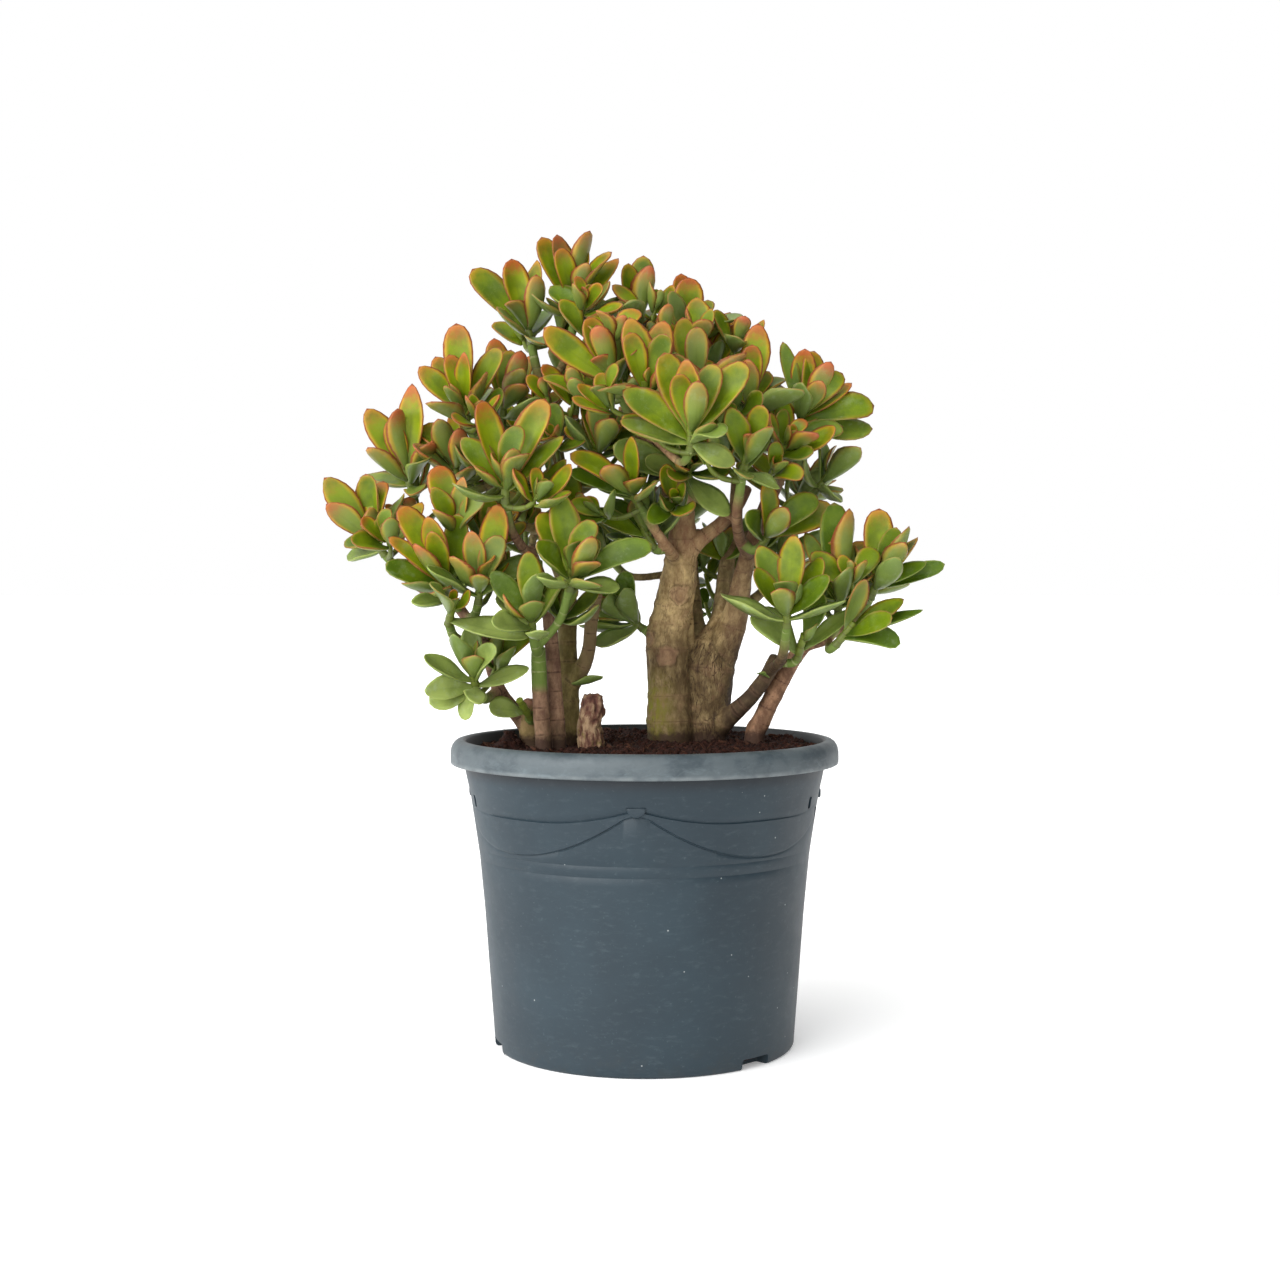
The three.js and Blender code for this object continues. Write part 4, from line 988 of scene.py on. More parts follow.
def barkSkin(finish):
    def sockets(kit):
        tones = {**barkLook[finish], **scarLook, **youngLook}
        look = paints(tones)
        ring, youth, scar = kit.split("marks")
        radius, height, tone = kit.split("girth")
        flow = kit.add("ShaderNodeAttribute", {"attribute_name": "flow"}).other("Vector")
        left = kit.add("ShaderNodeSeparateXYZ", {}, {"Vector": kit.spot()})
        broad = kit.clouds(kit.spot(), 21 * mm, 5, 0.6)
        patches = kit.clouds(kit.spot((1, 1, 0.6)), 6 * mm, 7, 0.66)
        streaks = kit.clouds(kit.stretch(flow, (1, 1, 0.3)), 1.8 * mm, 6, 0.66, 0.4)
        colour = kit.mix(patches.fade(0.34, 0.66), look["dark"], look["light"])
        colour = kit.mix(streaks.fade(0.5, 0.7) * 0.4, colour, look["dark"])
        colour = kit.mix(broad.fade(0.45, 0.64) * 0.25, colour, look["dark"])
        for *spans, zone, share in tones["zones"]:
            part = (patches.fade(0.9, 0.3) * 0.4 + 0.6) * share
            for value, span in zip((left, left.other("Y"), left.other("Z")), spans):
                if span:
                    part = value.fade(span[0] * mm, span[1] * mm) * part
            colour = kit.mix(part, colour, paint(*zone))
        mossTop = tones["mossTop"]
        green = height.fade(mossTop, mossTop - 34) * left.fade(tones["mossLeft"] * mm, 4 * mm)
        green = (green + height.fade(216, 203) * 0.4) * patches.fade(0.66, 0.4)
        colour = kit.mix(green * tones["mossShare"], colour, look["moss"])
        pink = kit.clouds(kit.spot(), 11 * mm, 5, 0.6).fade(0.52, 0.64) * radius.fade(8, 12)
        colour = kit.mix(pink * 0.22, colour, look["scar"])
        rough = radius.fade(8, 13) * (broad.fade(0.56, 0.4) * 0.7 + left.fade(28 * mm, 34 * mm) * 0.6)
        plates = kit.cells(kit.stretch(flow, (1, 1, 0.36)), 2.6 * mm, "DISTANCE_TO_EDGE")
        cracks = plates.fade(0.12, 0.0) * streaks.fade(0.62, 0.4) * rough
        colour = kit.mix(cracks * 0.85, colour, look["crack"])
        dashes = kit.clouds(kit.stretch(flow, (1, 1, 0.22)), 1.0 * mm, 3).fade(0.56, 0.66)
        colour = kit.mix(dashes * (rough * 0.6 + 0.2), colour, look["crack"])
        wobble = kit.clouds(kit.spot(), 3 * mm, 2) * 0.9 + kit.clouds(kit.spot(), 12 * mm, 2) * 2.2 - 1.1
        overgrown = radius.fade(7, 12) * patches.fade(0.7, 0.3) * 0.9
        line = (ring + wobble.away(0.0)).fade(1.3, 0.5) * (1 - overgrown)
        colour = kit.mix(line * 0.6, colour, look["crack"])
        above = (ring + wobble).fade(3.2, 1.4) * (1 - line)
        colour = kit.mix(above * 0.12, colour, look["scar"])
        uneven = scar + wobble * 0.12
        colour = kit.mix(uneven.fade(1.3, 0.7) * 0.5, colour, look["scar"])
        for place, width, share in ((1.12, 0.2, 0.45), (0.66, 0.14, 0.3)):
            edge = uneven.away(place).fade(width, 0.0) * streaks.fade(0.35, 0.55)
            colour = kit.mix(edge * share, colour, look["crack"])
        colour = kit.mix(uneven.fade(0.5, 0.1) * 0.6, colour, look["core"])
        cut = tone.fade(0.0, 1.0) * (0.9 - streaks * 0.5)
        colour = kit.mix(cut * 0.8, colour, kit.mix(height.fade(229, 235), look["cut"], look["cutTop"]))
        shoot = kit.mix(streaks, look["green"], look["pale"])
        shoot = kit.mix(line * 0.7, shoot, look["joint"])
        colour = kit.mix(youth.fade(0.0, 0.8).most(tone.fade(0.0, -1.0)), colour, shoot)
        dirt = (height.fade(222, 203) + kit.clouds(kit.spot(), 5 * mm, 6, 0.7)).fade(0.75, 1.3)
        colour = kit.mix(dirt * 0.9, colour, look["dirt"])
        relief = patches * 0.6 + streaks * 0.5 + plates.fade(0.0, 0.16) * rough * 0.6 - line * 0.6
        return {"Base Color": colour, "Roughness": streaks * 0.15 + 0.72, "Specular IOR Level": 0.3,
                "Normal": kit.bump(relief, 0.5 * mm, 0.8)}
    return sockets


def stumpSkin(kit):  # withered cut stem with pale folds
    look = paints(stumpLook)
    _, height, fold = kit.split("girth")
    flow = kit.add("ShaderNodeAttribute", {"attribute_name": "flow"}).other("Vector")
    streaks = kit.clouds(kit.stretch(flow, (1, 1, 0.35)), 1.5 * mm, 6, 0.7, 0.8)
    spots = kit.clouds(kit.spot(), 5 * mm, 5, 0.65)
    pale = (fold * 0.4 + streaks * 0.7).fade(0.42, 0.78)
    colour = kit.mix(pale, look["maroon"], look["cream"])
    colour = kit.mix(height.fade(226, 236) * spots.fade(0.3, 0.55) * 0.7, colour, look["top"])
    colour = kit.mix(spots.fade(0.52, 0.64) * height.fade(234, 212) * 0.7, colour, look["foot"])
    # painted shade: darker where the folds sink in, partly the stump's own colour
    colour = kit.mix((fold + streaks * 0.8).fade(0.7, 0.35) * 0.6, colour, look["dark"])
    return {"Base Color": colour, "Roughness": 0.75, "Specular IOR Level": 0.3,
            "Normal": kit.bump(streaks, 0.8 * mm, 0.9)}


barks = {finish: makeMaterial(finish, barkSkin(finish)) for finish in barkLook}
barks["stump"] = makeMaterial("witheredStump", stumpSkin)
barks["stem_right"] = barks["pink_bark"]
for stemName, (finish, _) in stemPlan.items():
    stem = woodMesh(stemName)
    stem.data.materials.clear()
    stem.data.materials.append(barks.get(stemName, barks[finish]))
    handOver(stem, finish, [stemName])
    print(stem.name + ":", len(stem.data.polygons), "faces")


leafShape = {
    "length": 41.0, "shortest": 35.0, "width": 0.46, "thick": 4.2, "arch": 0.06, "sunward": (0, -0.95, 0.3),
    "fill": (84, 58, 32), "fillApart": 42, "choices": 31, "sameTip": 0.12,
}
bladeShape = {  # rows: share along, half width, thickness; kinds: arch, cup, twist, how pointed
    "rows": ((0.0, 0.2, 0.62), (0.1, 0.31, 0.76), (0.22, 0.52, 0.93), (0.36, 0.77, 1.0), (0.5, 0.93, 0.97),
             (0.63, 1.0, 0.88), (0.76, 0.98, 0.74), (0.87, 0.83, 0.58), (0.95, 0.55, 0.42)),
    "around": 8, "roll": 30.0,
    "kinds": ((0.06, 0.26, 0.0, 0.1), (0.03, 0.16, 0.14, 0.8), (0.1, 0.34, -0.16, 0.3),
              (0.05, 0.3, 0.24, 1.1), (-0.05, 0.22, -0.1, 0.0), (0.13, 0.18, 0.08, 0.5)),
}
tuftShape = {  # pairs: length and degrees from the shoot's line
    "heart": ((13.0, 11.0), (20.0, 22.0), (27.0, 34.0), (30.0, 50.0)),
    "pairs": ((13.0, 10.0), (22.0, 20.0), (29.0, 36.0), (31.0, 56.0)),
    "away": 25.0, "down": 9.0, "choices": 12, "lowest": 262, "fewest": 4, "centre": (-15, 5, 370),
    "near": 75, "stalkRoot": 20, "stalkBend": 14,
    "clear": (-30, 92, 40, 345),  # nothing new before the two trunks: between these x, below this y and z
    "extra": (  # the shoot they belong to, where the leaves meet, the way they point, where the stalk starts
        ("top", (-47, -20, 438), (0.15, -0.3, 1), (-58, 2, 412)),
        ("top", (-36, -28, 484), (0.3, -0.3, 1), (-46, -6, 474)),
        ("mid_back", (7, 0, 500), (0.2, -0.1, 1), (-6, 8, 474)),
        ("mid_pink", (-20, -56, 474), (0.1, -0.4, 1), (-19, -46, 440)),
        ("peak_right", (12, -30, 480), (-0.1, -0.3, 1), (26, 6, 460)),
        ("right_crown", (62, -6, 478), (0.2, -0.3, 1), (50, 18, 452)),
        ("left_peak", (-66, -12, 440), (-0.3, -0.3, 0.9), (-61, 3, 410)),
        ("inner_left", (-61, -20, 410), (-0.3, -0.7, 0.7), (-57, 6, 380)),
        ("inner_left", (-45, -24, 386), (0.5, -0.6, 0.6), (-56, 6, 360)),
        ("inner_left", (-69, -25, 384), (-0.6, -0.6, 0.6), (-57, 6, 362)),
        ("inner_left", (-43, -22, 364), (0.3, -0.6, 0.7), (-55, 7, 342)),
        ("behind_right", (44, 64, 320), (-0.1, 0.3, 1), (54, 42, 298)),
        ("behind_right", (44, 68, 299), (-0.2, 0.4, 0.8), (52, 42, 284))),
    "palest": {"left_bottom": 0.45, "left_foot": 0.9, "left_pale": 0.25, "left_droop": 0.5},
    "lone": (  # leaves on bare limbs: the shoot they are counted with, root, tip and width
        ("inner_left", (-50, -3, 246), (-28, -10, 251), 8.0),
        ("behind_right", (85, -4, 250), (76, -8, 253), 5.0)),
}


def seenLeaves(shoot):
    made = []
    for across, up, *rest in shoot[3]:
        depth = rest[0] if rest else -1
        reach = math.hypot(across, up)
        length = max(leafShape["shortest"], reach)
        back = math.sqrt(max(0.0, length * length - reach * reach)) * ((depth > 0) - (depth < 0))
        made.append({"way": Vector((across, back, up)), "width": rest[1] if len(rest) > 1 else 0,
                     "turned": 0.35 if depth > 0 else 0.62})
    return made


def pairedLeaves(shoot, number, axis, seen):
    if len(shoot) > 4:
        return []
    u, v = sideways(axis, Vector((0.3, -1, 0.1)))
    turn0 = 360 * chance(number, 7)
    made = []
    for level, spread in enumerate(leafShape["fill"]):
        for side in (0, 180):
            turn = math.radians(turn0 + 90 * level + side + 16 * (chance(number, 11 + level) - 0.5))
            tilt = math.radians(spread + 14 * (chance(number, 20 + 3 * level + side) - 0.5))
            way = axis * math.cos(tilt) + (u * math.cos(turn) + v * math.sin(turn)) * math.sin(tilt)
            luck = 0.9 + 0.2 * chance(number, 40 + 5 * level + side)
            length = leafShape["length"] * (1.02 - 0.15 * level) * luck
            if all(leaf["way"].angle(way) > math.radians(leafShape["fillApart"]) for leaf in seen):
                made.append({"way": way * length, "width": 0, "turned": 0.15})
    return made


def upperFace(along, axis, turned):  # towards the shoot's line, and for the front leaves partly to the front
    look = axis.lerp(Vector(leafShape["sunward"]), turned).normalized()
    if abs(look.dot(along)) > 0.92:
        look = axis
    return (look - along * look.dot(along)).normalized()


def placings(leaf, at, axis):  # the ways in which the solids may hold this leaf
    straight = leaf["way"].normalized()
    spread = axis.angle(straight)
    face = upperFace(straight, axis, leaf["turned"])
    side = face.cross(straight)
    for k in range(leafShape["choices"]):
        ring = math.ceil(k / 6)
        lean, turn = math.tan(math.radians(8 * ring)), math.radians(60 * k + 30 * ring)
        way = (straight + side * (lean * math.cos(turn)) + face * (lean * math.sin(turn))).normalized()
        reach = leaf["way"].length * (1 - 0.05 * ring)
        down = 2 + 11 * min(1.0, spread / (math.pi / 2))
        root = at - axis * down + (way - axis * axis.dot(way)).normalized()
        width = leaf["width"] or leafShape["width"] * min(44, reach)
        yield {"root": root, "tip": at + way * reach, "width": width, "spread": math.degrees(spread),
               "turned": leaf["turned"]}


def grownLeaves(name, number):  # the leaves that the shoot's solid has
    shoot = shootPlan[name]
    at, axis = Vector(shoot[1]), axisOf(shoot)
    corners = readPoints(frame["nodes"]["shoot_" + name].data) / mm
    seen = seenLeaves(shoot)
    made = []
    for leaf in seen + pairedLeaves(shoot, number, axis, seen):
        for place in placings(leaf, at, axis):
            if np.abs(corners - np.array(place["tip"])).sum(1).min() < leafShape["sameTip"]:
                made.append(place)
                break
    return made


def makeBlade(name, arch, cup, twist, point):  # one unit long and wide, thickness in shares of the length
    thick = leafShape["thick"] / leafShape["length"]
    count = bladeShape["around"]
    points, marks = [], []
    for s, half, deep in bladeShape["rows"]:
        half *= 1 - 0.45 * point * max(0.0, (s - 0.55) / 0.45) ** 1.5
        for j in range(count):
            turn = 2 * math.pi * j / count
            x, z = 0.5 * half * math.cos(turn), 0.5 * thick * deep * math.sin(turn)
            z *= 0.8 if z > 0 else 1.15
            z += -arch * 4 * s * (1 - s) + cup * 0.5 * half * math.cos(turn) ** 2 * math.sin(math.pi * s)
            z += twist * x * s
            x += 0.05 * twist * math.sin(math.pi * s)
            points.append((x, s, z))
            marks.append((max(abs(math.cos(turn)), 1 - (1 - s) / 0.26), s, math.sin(turn)))
    points += [(0, -0.02, 0), (0, 1.0, 0)]
    marks += [(0, 0, 0), (1, 1, 0)]
    total = len(bladeShape["rows"]) * count
    faces = [tuple(reversed(face)) for face in rings(count, len(bladeShape["rows"]), total, total + 1)]
    return makeMesh(name, points, faces, {"blade": marks})


def sprigTree():  # leaves on the points that have no edge, a green stem along the edges
    tree, kit, given = addTree("leafySprig", [
        ("Blades", "Collection"), ("Stem sides", "Int"),
        ("Leaf finish", "Material"), ("Stem finish", "Material")])

    def stored(name, kind):
        return kit.add("GeometryNodeInputNamedAttribute", {"data_type": kind}, {"Name": name})

    leaf = stored("isLeaf", "FLOAT")
    spots = kit.add("GeometryNodeMeshToPoints", {}, {"Mesh": given("Geometry"), "Selection": leaf})
    blades = kit.add("GeometryNodeCollectionInfo", {}, {
        "Collection": given("Blades"), "Separate Children": True, "Reset Children": True})
    leaves = kit.add("GeometryNodeInstanceOnPoints", {}, {
        "Points": spots, "Instance": blades, "Pick Instance": True, "Instance Index": stored("kind", "INT"),
        "Rotation": stored("turn", "FLOAT_VECTOR"), "Scale": stored("size", "FLOAT_VECTOR")})
    line = kit.add("GeometryNodeMeshToCurve", {}, {"Mesh": given("Geometry")})
    around = kit.add("GeometryNodeCurvePrimitiveCircle", {"mode": "RADIUS"}, {
        "Resolution": given("Stem sides"), "Radius": 1.0})
    stalk = kit.add("GeometryNodeCurveToMesh", {}, {
        "Curve": line, "Profile Curve": around, "Scale": stored("thick", "FLOAT"), "Fill Caps": True})
    stalk = kit.add("GeometryNodeStoreNamedAttribute", {"data_type": "FLOAT", "domain": "FACE"}, {
        "Geometry": stalk, "Name": "isStalk", "Value": 1.0})
    both = kit.add("GeometryNodeJoinGeometry", {}, {"Geometry": [leaves, stalk]})
    real = kit.add("GeometryNodeRealizeInstances", {}, {"Geometry": both})
    done = kit.add("GeometryNodeSetMaterial", {}, {"Geometry": real, "Material": given("Leaf finish")})
    done = kit.add("GeometryNodeSetMaterial", {}, {
        "Geometry": done, "Selection": stored("isStalk", "FLOAT"), "Material": given("Stem finish")})
    done = kit.add("GeometryNodeSetShadeSmooth", {}, {"Geometry": done, "Shade Smooth": True})
    kit.add("NodeGroupOutput", {}, {"Geometry": done})
    return tree


def exposure(at):  # how much sun a shoot gets: high and far out is most, and the left more than the right
    high = min(1.0, max(0.0, (at.z - 235) / 240))
    side = 0.36 if at.x < 0 else 0.2
    return min(0.9, 0.22 + 0.6 * high ** 1.1 + side * min(1.0, abs(at.x) / 170) - 0.12 * (at.y > 55))


def rosette(at, axis, pairs, number, sun, turned=0.1):  # pairs of leaves round a shoot's line, each turned on
    u, v = sideways(axis, Vector((0.3, -1, 0.1)))
    made = []
    for level, (length, lean) in enumerate(pairs):
        sway = 36 * (chance(number, 90 + level) - 0.5)
        turn = math.radians(360 * chance(number, 7) + 90 * (level + 1) + sway)
        for side in (-1, 1):
            out = (u * math.cos(turn) + v * math.sin(turn)) * side
            seed = 95 + 3 * level + side
            tilt = math.radians(lean * (0.75 + 0.5 * chance(number, seed)))
            along = axis * math.cos(tilt) + out * math.sin(tilt)
            size = length * (0.85 + 0.3 * chance(number, seed + 20))
            root = at + out * (1.1 + 0.3 * level) - axis * 2.2 * level
            roll = 0.5 * (chance(number, seed + 40) - 0.5)
            face = Matrix.Rotation(roll, 3, along) @ upperFace(along, axis, turned)
            made.append({"root": root, "along": along, "face": face, "length": size,
                         "width": size * (0.46 + 0.12 * chance(number, seed + 60)),
                         "age": max(0.0, lean - 35) / 90, "sun": sun, "seed": seed, "back": 0.0})
    return made


def passes(leaf, others):  # whether a new leaf would go through one that is there
    for part in (0.4, 0.6, 0.8, 1.0):
        place = leaf["root"] + leaf["along"] * (leaf["length"] * part)
        for other in others:
            away = place - other["root"]
            run = away.dot(other["along"]) / other["length"]
            if 0.08 < run < 1.03 and abs(away.dot(other["face"])) < 2.9:
                if abs(away.dot(other["along"].cross(other["face"]))) < 0.5 * other["width"]:
                    return True
    return False


def firstGrowth():  # the leaves of the solids, and small new ones in each heart
    growth = {}
    for number, (name, shoot) in enumerate(shootPlan.items()):
        at, axis = Vector(shoot[1]), axisOf(shoot)
        leaves = []
        for order, leaf in enumerate(grownLeaves(name, number)):
            along = (leaf["tip"] - leaf["root"]).normalized()
            roll = math.radians(bladeShape["roll"] * (chance(number, order + 50) - 0.5))
            sun = exposure(at)
            hidden = upperFace(along, axis, 0).y > 0.15 and chance(number, order + 120) < 0.4
            age = 0.8 * min(1.0, max(0.0, (leaf["spread"] - 25) / 70))
            age += 0.35 * (1 - sun) * chance(number, order + 60)
            age = min(1.3, age + tuftShape["palest"].get(name, 0))
            leaves.append({"root": leaf["root"], "along": along,
                           "length": (leaf["tip"] - leaf["root"]).length,
                           "face": Matrix.Rotation(roll, 3, along) @ upperFace(along, axis, leaf["turned"]),
                           "width": leaf["width"], "age": age, "sun": sun, "seed": order,
                           "back": 1.0 if hidden else 0.0})  # back: the underside is what the front view sees
        heart = tuftShape["heart"][:2 if len(shoot) > 4 else 4] if name != "left_foot" else ()
        for leaf in rosette(at, axis, heart, number, exposure(at)):
            if not passes(leaf, leaves):
                leaves.append(leaf)
        base = baseOf(shoot) - axis
        growth[name] = {"leaves": leaves, "stalks": [[base.lerp(at + axis * 2, i / 13) for i in range(14)]]}
    return growth


def freeTuft(spot, line, seed, shade, placed):  # leaves of a small rosette that have room among those placed
    near = [leaf for leaf in placed if (leaf["root"] - spot).length < tuftShape["near"]]
    tuft = rosette(spot, line, tuftShape["pairs"], seed, exposure(spot) * shade, 0.4)
    return [leaf for leaf in tuft if not passes(leaf, near)]


def addTufts(growth):  # a smaller side shoot for each, where the crown has most room further in
    centre = Vector(tuftShape["centre"])
    west, east, front, high = tuftShape["clear"]
    placed = [leaf for one in growth.values() for leaf in one["leaves"]]
    for number, (name, shoot) in enumerate([*shootPlan.items()] * 2):
        if len(shoot) > 4:
            continue
        at, axis = Vector(shoot[1]), axisOf(shoot)
        u, v = sideways(axis, Vector((0.3, -1, 0.1)))
        best = None
        for k in range(tuftShape["choices"]):
            turn = 2 * math.pi * (k + chance(number, 140)) / tuftShape["choices"]
            out = u * math.cos(turn) + v * math.sin(turn)
            spot = at + out * tuftShape["away"] - axis * tuftShape["down"]
            if (spot - centre).length > (at - centre).length - 3 or spot.z < tuftShape["lowest"]:
                continue
            if west < spot.x < east and spot.y < front and spot.z < high:
                continue
            line = (axis + out * 0.45 + Vector((0, 0, 0.25))).normalized()
            free = freeTuft(spot, line, number + 200, 0.85, placed)
            if best is None or len(free) > len(best[0]):
                best = (free, spot, line)
        if best and len(best[0]) >= tuftShape["fewest"]:
            free, spot, line = best
            placed += free
            growth[name]["leaves"] += free
            growth[name]["stalks"].append(stalkLine(at - axis * tuftShape["stalkRoot"], spot, line))
    for order, (name, spot, line, start) in enumerate(tuftShape["extra"]):
        spot, line, start = Vector(spot), Vector(line).normalized(), Vector(start)
        free = freeTuft(spot, line, order + 300, 0.8, placed)
        placed += free
        growth[name]["leaves"] += free
        growth[name]["stalks"].append(stalkLine(start, spot, line))
    for order, (name, root, tip, width) in enumerate(tuftShape["lone"]):
        way = Vector(tip) - Vector(root)
        growth[name]["leaves"].append({
            "root": Vector(root), "along": way.normalized(), "length": way.length, "width": width,
            "face": upperFace(way.normalized(), Vector((0, 0, 1)), 0),
            "age": 0.2, "sun": 0.2, "seed": order, "back": 0.0})


def stalkLine(start, spot, line):  # a bent stalk that arrives along the rosette's line
    bend, end = spot - line * tuftShape["stalkBend"], spot + line
    return [start * (1 - t) ** 2 + bend * (2 * t * (1 - t)) + end * t * t for t in np.linspace(0, 1, 12)]


def sprigPoints(name, number, leaves, stalks):  # mesh of points that the tree reads
    points, edges = [], []
    attributes = {key: [] for key in ("isLeaf", "kind", "thick", "turn", "size", "mood", "back")}

    def addPoint(place, *values):
        points.append(place)
        for key, value in zip(attributes, values):
            attributes[key].append(value)

    for order, leaf in enumerate(leaves):
        side = leaf["along"].cross(leaf["face"])
        turn = Matrix((side, leaf["along"], leaf["face"])).transposed().to_euler()
        kind = int(len(bladeShape["kinds"]) * chance(number, leaf["seed"] + 30))
        deep = min(0.35 * leaf["length"] + 0.65 * leafShape["length"], 1.4 * leaf["length"])
        size = (leaf["width"] * mm, leaf["length"] * mm, deep * mm)
        mood = (leaf["sun"] * (1 - 0.45 * leaf["age"]), leaf["age"], chance(number, order + 80))
        addPoint(leaf["root"], 1.0, kind, 0.0, tuple(turn), size, mood, leaf["back"])
    for order, stalk in enumerate(stalks):
        for i, place in enumerate(stalk):
            t = i / (len(stalk) - 1)
            thick = (3.05 - 0.75 * t - 0.9 * (order > 0)) * (1 + 0.07 * math.cos(t * 2 * math.pi * 3))
            if i:
                edges.append((len(points) - 1, len(points)))
            addPoint(place, 0.0, 0, thick * mm, (0, 0, 0), (1, 1, 1),
                     (leaves[0]["sun"] if leaves else 0.5, 1 - t, t), 0.0)
    mesh = bpy.data.meshes.new(name)
    mesh.from_pydata([p * mm for p in points], edges, [])
    kinds = {"isLeaf": "FLOAT", "kind": "INT", "thick": "FLOAT", "back": "FLOAT"}
    for key, values in attributes.items():
        if key in kinds:
            mesh.attributes.new(key, kinds[key], "POINT").data.foreach_set("value", values)
        else:
            addVectors(mesh, key, values)
    return mesh


leafLook = {
    "young": (124, 140, 12), "mature": (74, 99, 10), "deep": (32, 54, 12), "old": (146, 160, 86),
    "under": (116, 132, 74), "blush": (176, 98, 70), "amber": (204, 144, 34), "rust": (166, 60, 42),
    "rim": (132, 42, 34), "pale": (176, 184, 100), "bloom": (150, 164, 126), "dot": (150, 166, 84),
}


def leafSkin(kit):
    look = paints(leafLook)
    edge, along, side = kit.split("blade")
    sun, age, tint = kit.split("mood")
    back = kit.add("ShaderNodeAttribute", {"attribute_name": "back"}).other("Fac")
    wide = kit.clouds(kit.spot(), 16 * mm, 4)
    fine = kit.clouds(kit.spot(), 3.2 * mm, 5, 0.6)
    fresh = sun * 0.6 + tint * 0.6 + wide * 0.6 - age * 0.3 - 0.42
    colour = kit.mix(fresh.fade(0.0, 1.0), look["mature"], look["young"])
    colour = kit.mix(age.fade(0.5, 1.05) * (1.0 - sun * 0.6), colour, look["old"])
    shade = along.fade(0.5, 0.0) * 0.3 + wide.fade(0.6, 0.34) * 0.35
    colour = kit.mix(shade, colour, look["deep"])
    under = side.fade(0.1, -0.35).most(back)
    colour = kit.mix(under * 0.55, colour, look["under"])
    warm = sun * 1.1 + tint * 0.6 + wide * 0.5 - age * 0.35 - 0.74
    glow = edge.fade(0.56, 0.92) * along.fade(0.05, 0.6)
    colour = kit.mix(glow * warm.fade(0.05, 0.8) * 0.62, colour, look["amber"])
    tip = (along + (fine - 0.5) * 0.3).fade(0.66, 0.98)
    colour = kit.mix(tip * warm.fade(0.35, 0.95) * 0.8, colour, look["rust"])
    rosy = under * along.fade(0.45, 1.0) * warm.fade(0.2, 0.9)
    colour = kit.mix(rosy * 0.36, colour, look["blush"])
    rim = (edge + (fine - 0.5) * 0.16).fade(0.83, 0.95)
    colour = kit.mix(rim * 0.38, colour, look["pale"])
    colour = kit.mix(rim * (warm * 0.9 + along * 0.4).fade(0.25, 0.75) * 0.85, colour, look["rim"])
    vein = edge.fade(0.14, 0.0) * along.fade(0.9, 0.4)
    colour = kit.mix(vein * 0.14, colour, look["deep"])
    dots = kit.cells(kit.spot(), 1.7 * mm).fade(0.2, 0.1) * edge.fade(0.9, 0.7)
    colour = kit.mix(dots * 0.16, colour, look["dot"])
    bloom = kit.clouds(kit.spot(), 9 * mm, 6, 0.7).fade(0.5, 0.75)
    colour = kit.mix(bloom * (age * 0.4 + under * 0.12 + 0.04), colour, look["bloom"])
    rough = bloom * 0.14 + fine * 0.08 + 0.34
    return {"Base Color": colour, "Roughness": rough, "Specular IOR Level": 0.2, "Subsurface Weight": 0.12,
            "Subsurface Radius": (0.5, 1.0, 0.25), "Subsurface Scale": 2.0 * mm,
            "Normal": kit.bump(fine + dots * 0.5, 0.12 * mm, 0.5)}


stalkLook = {"fresh": (108, 122, 34), "older": (84, 94, 34), "ring": (70, 52, 32)}


def stalkSkin(kit):
    look = paints(stalkLook)
    _, age, run = kit.split("mood")
    clouds = kit.clouds(kit.spot(), 3 * mm, 5)
    colour = kit.mix(age, look["fresh"], look["older"])
    colour = kit.mix(clouds.fade(0.4, 0.7) * 0.4, colour, look["older"])
    ring = (run * 3).calc("FRACT", run * 3 + 0.5).fade(0.0, 0.12)
    colour = kit.mix((1 - ring) * 0.7, colour, look["ring"])
    return {"Base Color": colour, "Roughness": 0.5, "Specular IOR Level": 0.4,
            "Normal": kit.bump(clouds, 0.3 * mm, 0.5)}


sprig = sprigTree()
leafMaterial, stalkMaterial = makeMaterial("leafSkin", leafSkin), makeMaterial("greenStalk", stalkSkin)
blades = gather("bladeShapes", [makeBlade(f"blade{i}", *kind) for i, kind in enumerate(bladeShape["kinds"])])
growth = firstGrowth()
addTufts(growth)
leafCount = 0
for shootNumber, shootName in enumerate(shootPlan):
    spray = putInScene("leaves_" + shootName, sprigPoints(shootName, shootNumber, **growth[shootName]))
    leafCount += sum(round(item.value) for item in spray.data.attributes["isLeaf"].data)
    growWith(spray, sprig, {"Blades": blades, "Stem sides": 10, "Leaf finish": leafMaterial,
                            "Stem finish": stalkMaterial})
    inside = np.clip(readPoints(spray.data), *cadBox)  # no leaf reaches past the solids' box
    spray.data.vertices.foreach_set("co", inside.astype(np.float32).ravel())
    spray.data.update()
    handOver(spray, "leaf", ["shoot_" + shootName])
discard(blades)
print("shoots:", len(shootPlan), "with", leafCount, "leaves")


studio = {
    "floor": (254, 254, 254), "horizon": 1.0, "zenith": 0.8, "shade": 0.9,  # shade: less from the right
    "softbox": {"towards": (-0.72, -0.66, 0.22), "strength": 1.75},
    "lights": (("key", (-1.8, -2.0, 1.7), 1.5, 50),),  # from, strength, softness
    "aim": (0, 0, 0.3),
    "camera": {"place": (-0.0031, -1.284, 0.315), "down": 1.765, "lens": 52.93},
}


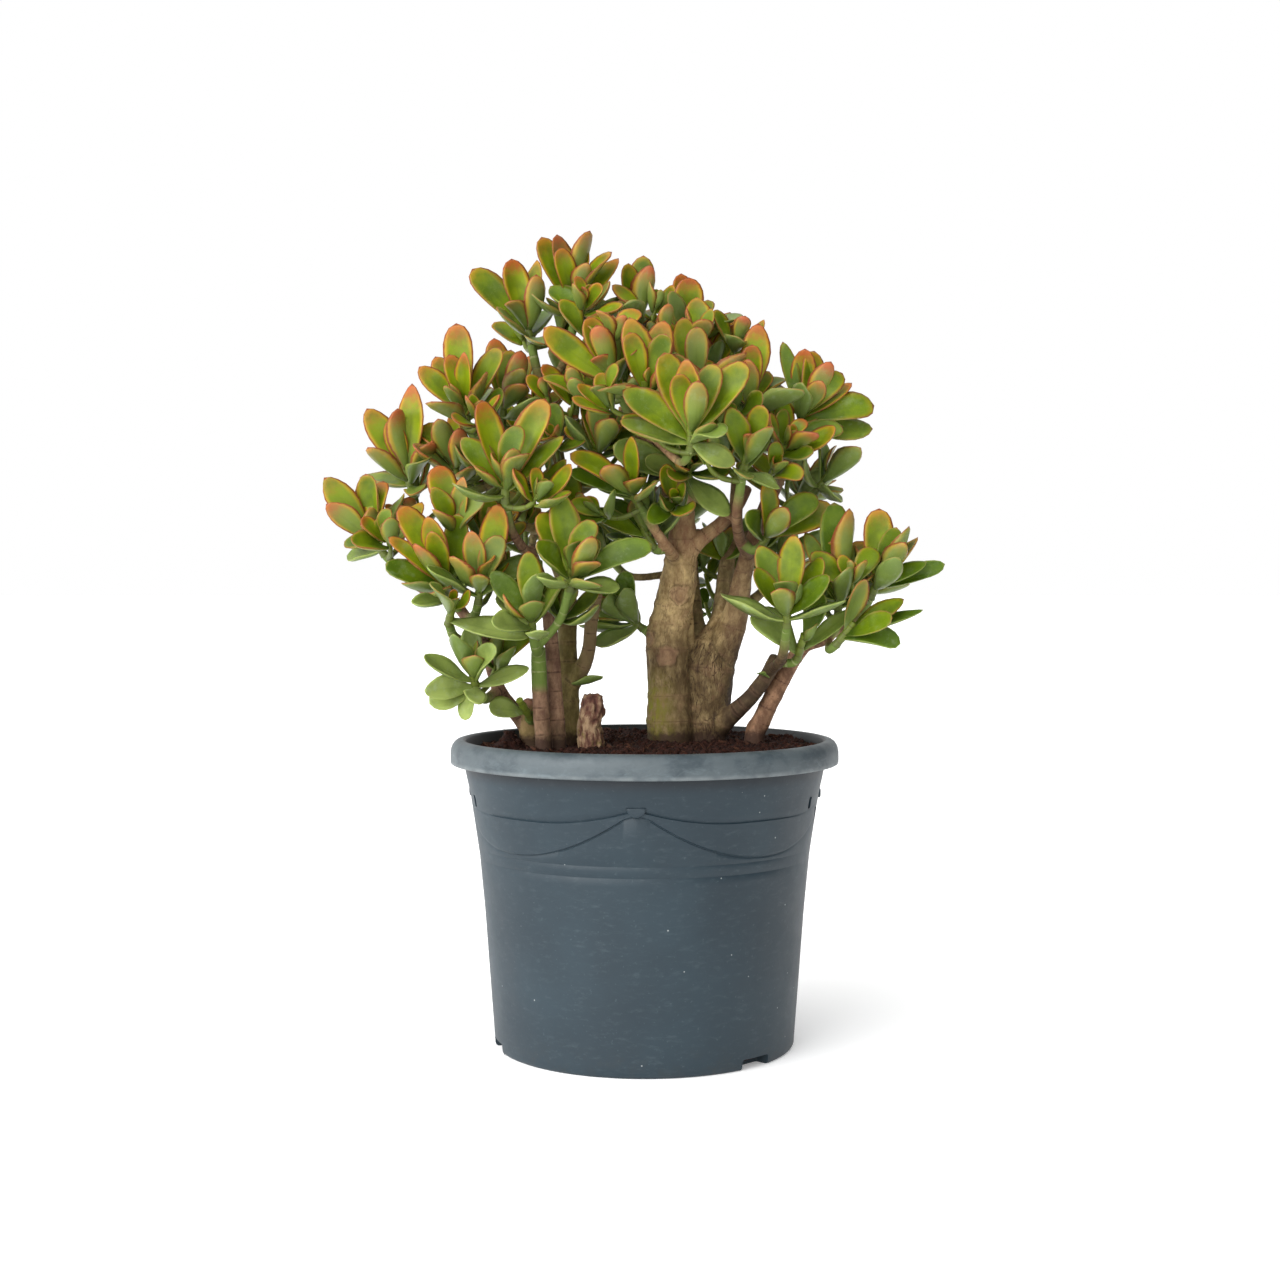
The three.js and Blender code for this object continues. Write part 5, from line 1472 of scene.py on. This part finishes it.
def setStage():
    mesh = bpy.data.meshes.new("floor")
    mesh.from_pydata([(-40, -40, 0), (40, -40, 0), (40, 40, 0), (-40, 40, 0)], [], [(0, 1, 2, 3)])
    floor = putInScene("floor", mesh)
    mesh.materials.append(makeMaterial("paleFloor", lambda kit: {
        "Base Color": paint(*studio["floor"]), "Roughness": 0.9, "Specular IOR Level": 0.1,
        "Emission Color": paint(*studio["floor"]), "Emission Strength": 0.22}))
    for name, place, strength, softness in studio["lights"]:
        light = bpy.data.lights.new(name, "SUN")
        light.energy, light.angle = strength, math.radians(softness)
        lamp = bpy.data.objects.new(name, light)
        lamp.location = place
        lamp.rotation_euler = (Vector(studio["aim"]) - Vector(place)).to_track_quat("-Z", "Y").to_euler()
        bpy.context.scene.collection.objects.link(lamp)
    world = bpy.data.worlds.new("studio")
    world.use_nodes = True
    world.node_tree.nodes.clear()
    kit = Kit(world.node_tree)
    right = kit.add("ShaderNodeSeparateXYZ", {}, {"Vector": kit.add("ShaderNodeTexCoord")})
    back, up = right.other("Y"), right.other("Z")
    low, high = studio["horizon"], studio["zenith"]
    x, y, z = studio["softbox"]["towards"]
    box = (right * x + back * y + up * z).fade(0.3, 0.95) * studio["softbox"]["strength"]
    strength = low - up.fade(0.12, 0.9) * (low - high) - right.fade(0.35, 0.95) * studio["shade"] + box
    seen = kit.add("ShaderNodeLightPath")  # Is Camera Ray: the backdrop itself is evenly white
    strength = strength * (1 - seen) + seen * studio["horizon"]
    glow = kit.add("ShaderNodeBackground", {}, {"Color": paint(255, 255, 255), "Strength": strength})
    kit.add("ShaderNodeOutputWorld", {}, {"Surface": glow})
    bpy.context.scene.world = world
    bpy.context.scene.view_settings.view_transform = "Standard"


def setCamera():
    look = studio["camera"]
    camera = bpy.data.objects.new("camera", bpy.data.cameras.new("camera"))
    camera.data.lens, camera.data.sensor_width = look["lens"], 36
    camera.location = look["place"]
    camera.rotation_euler = Euler((math.radians(90 - look["down"]), 0, 0))
    bpy.context.scene.collection.objects.link(camera)
    bpy.context.scene.camera = camera


setStage()
setCamera()
bpy.context.view_layer.update()
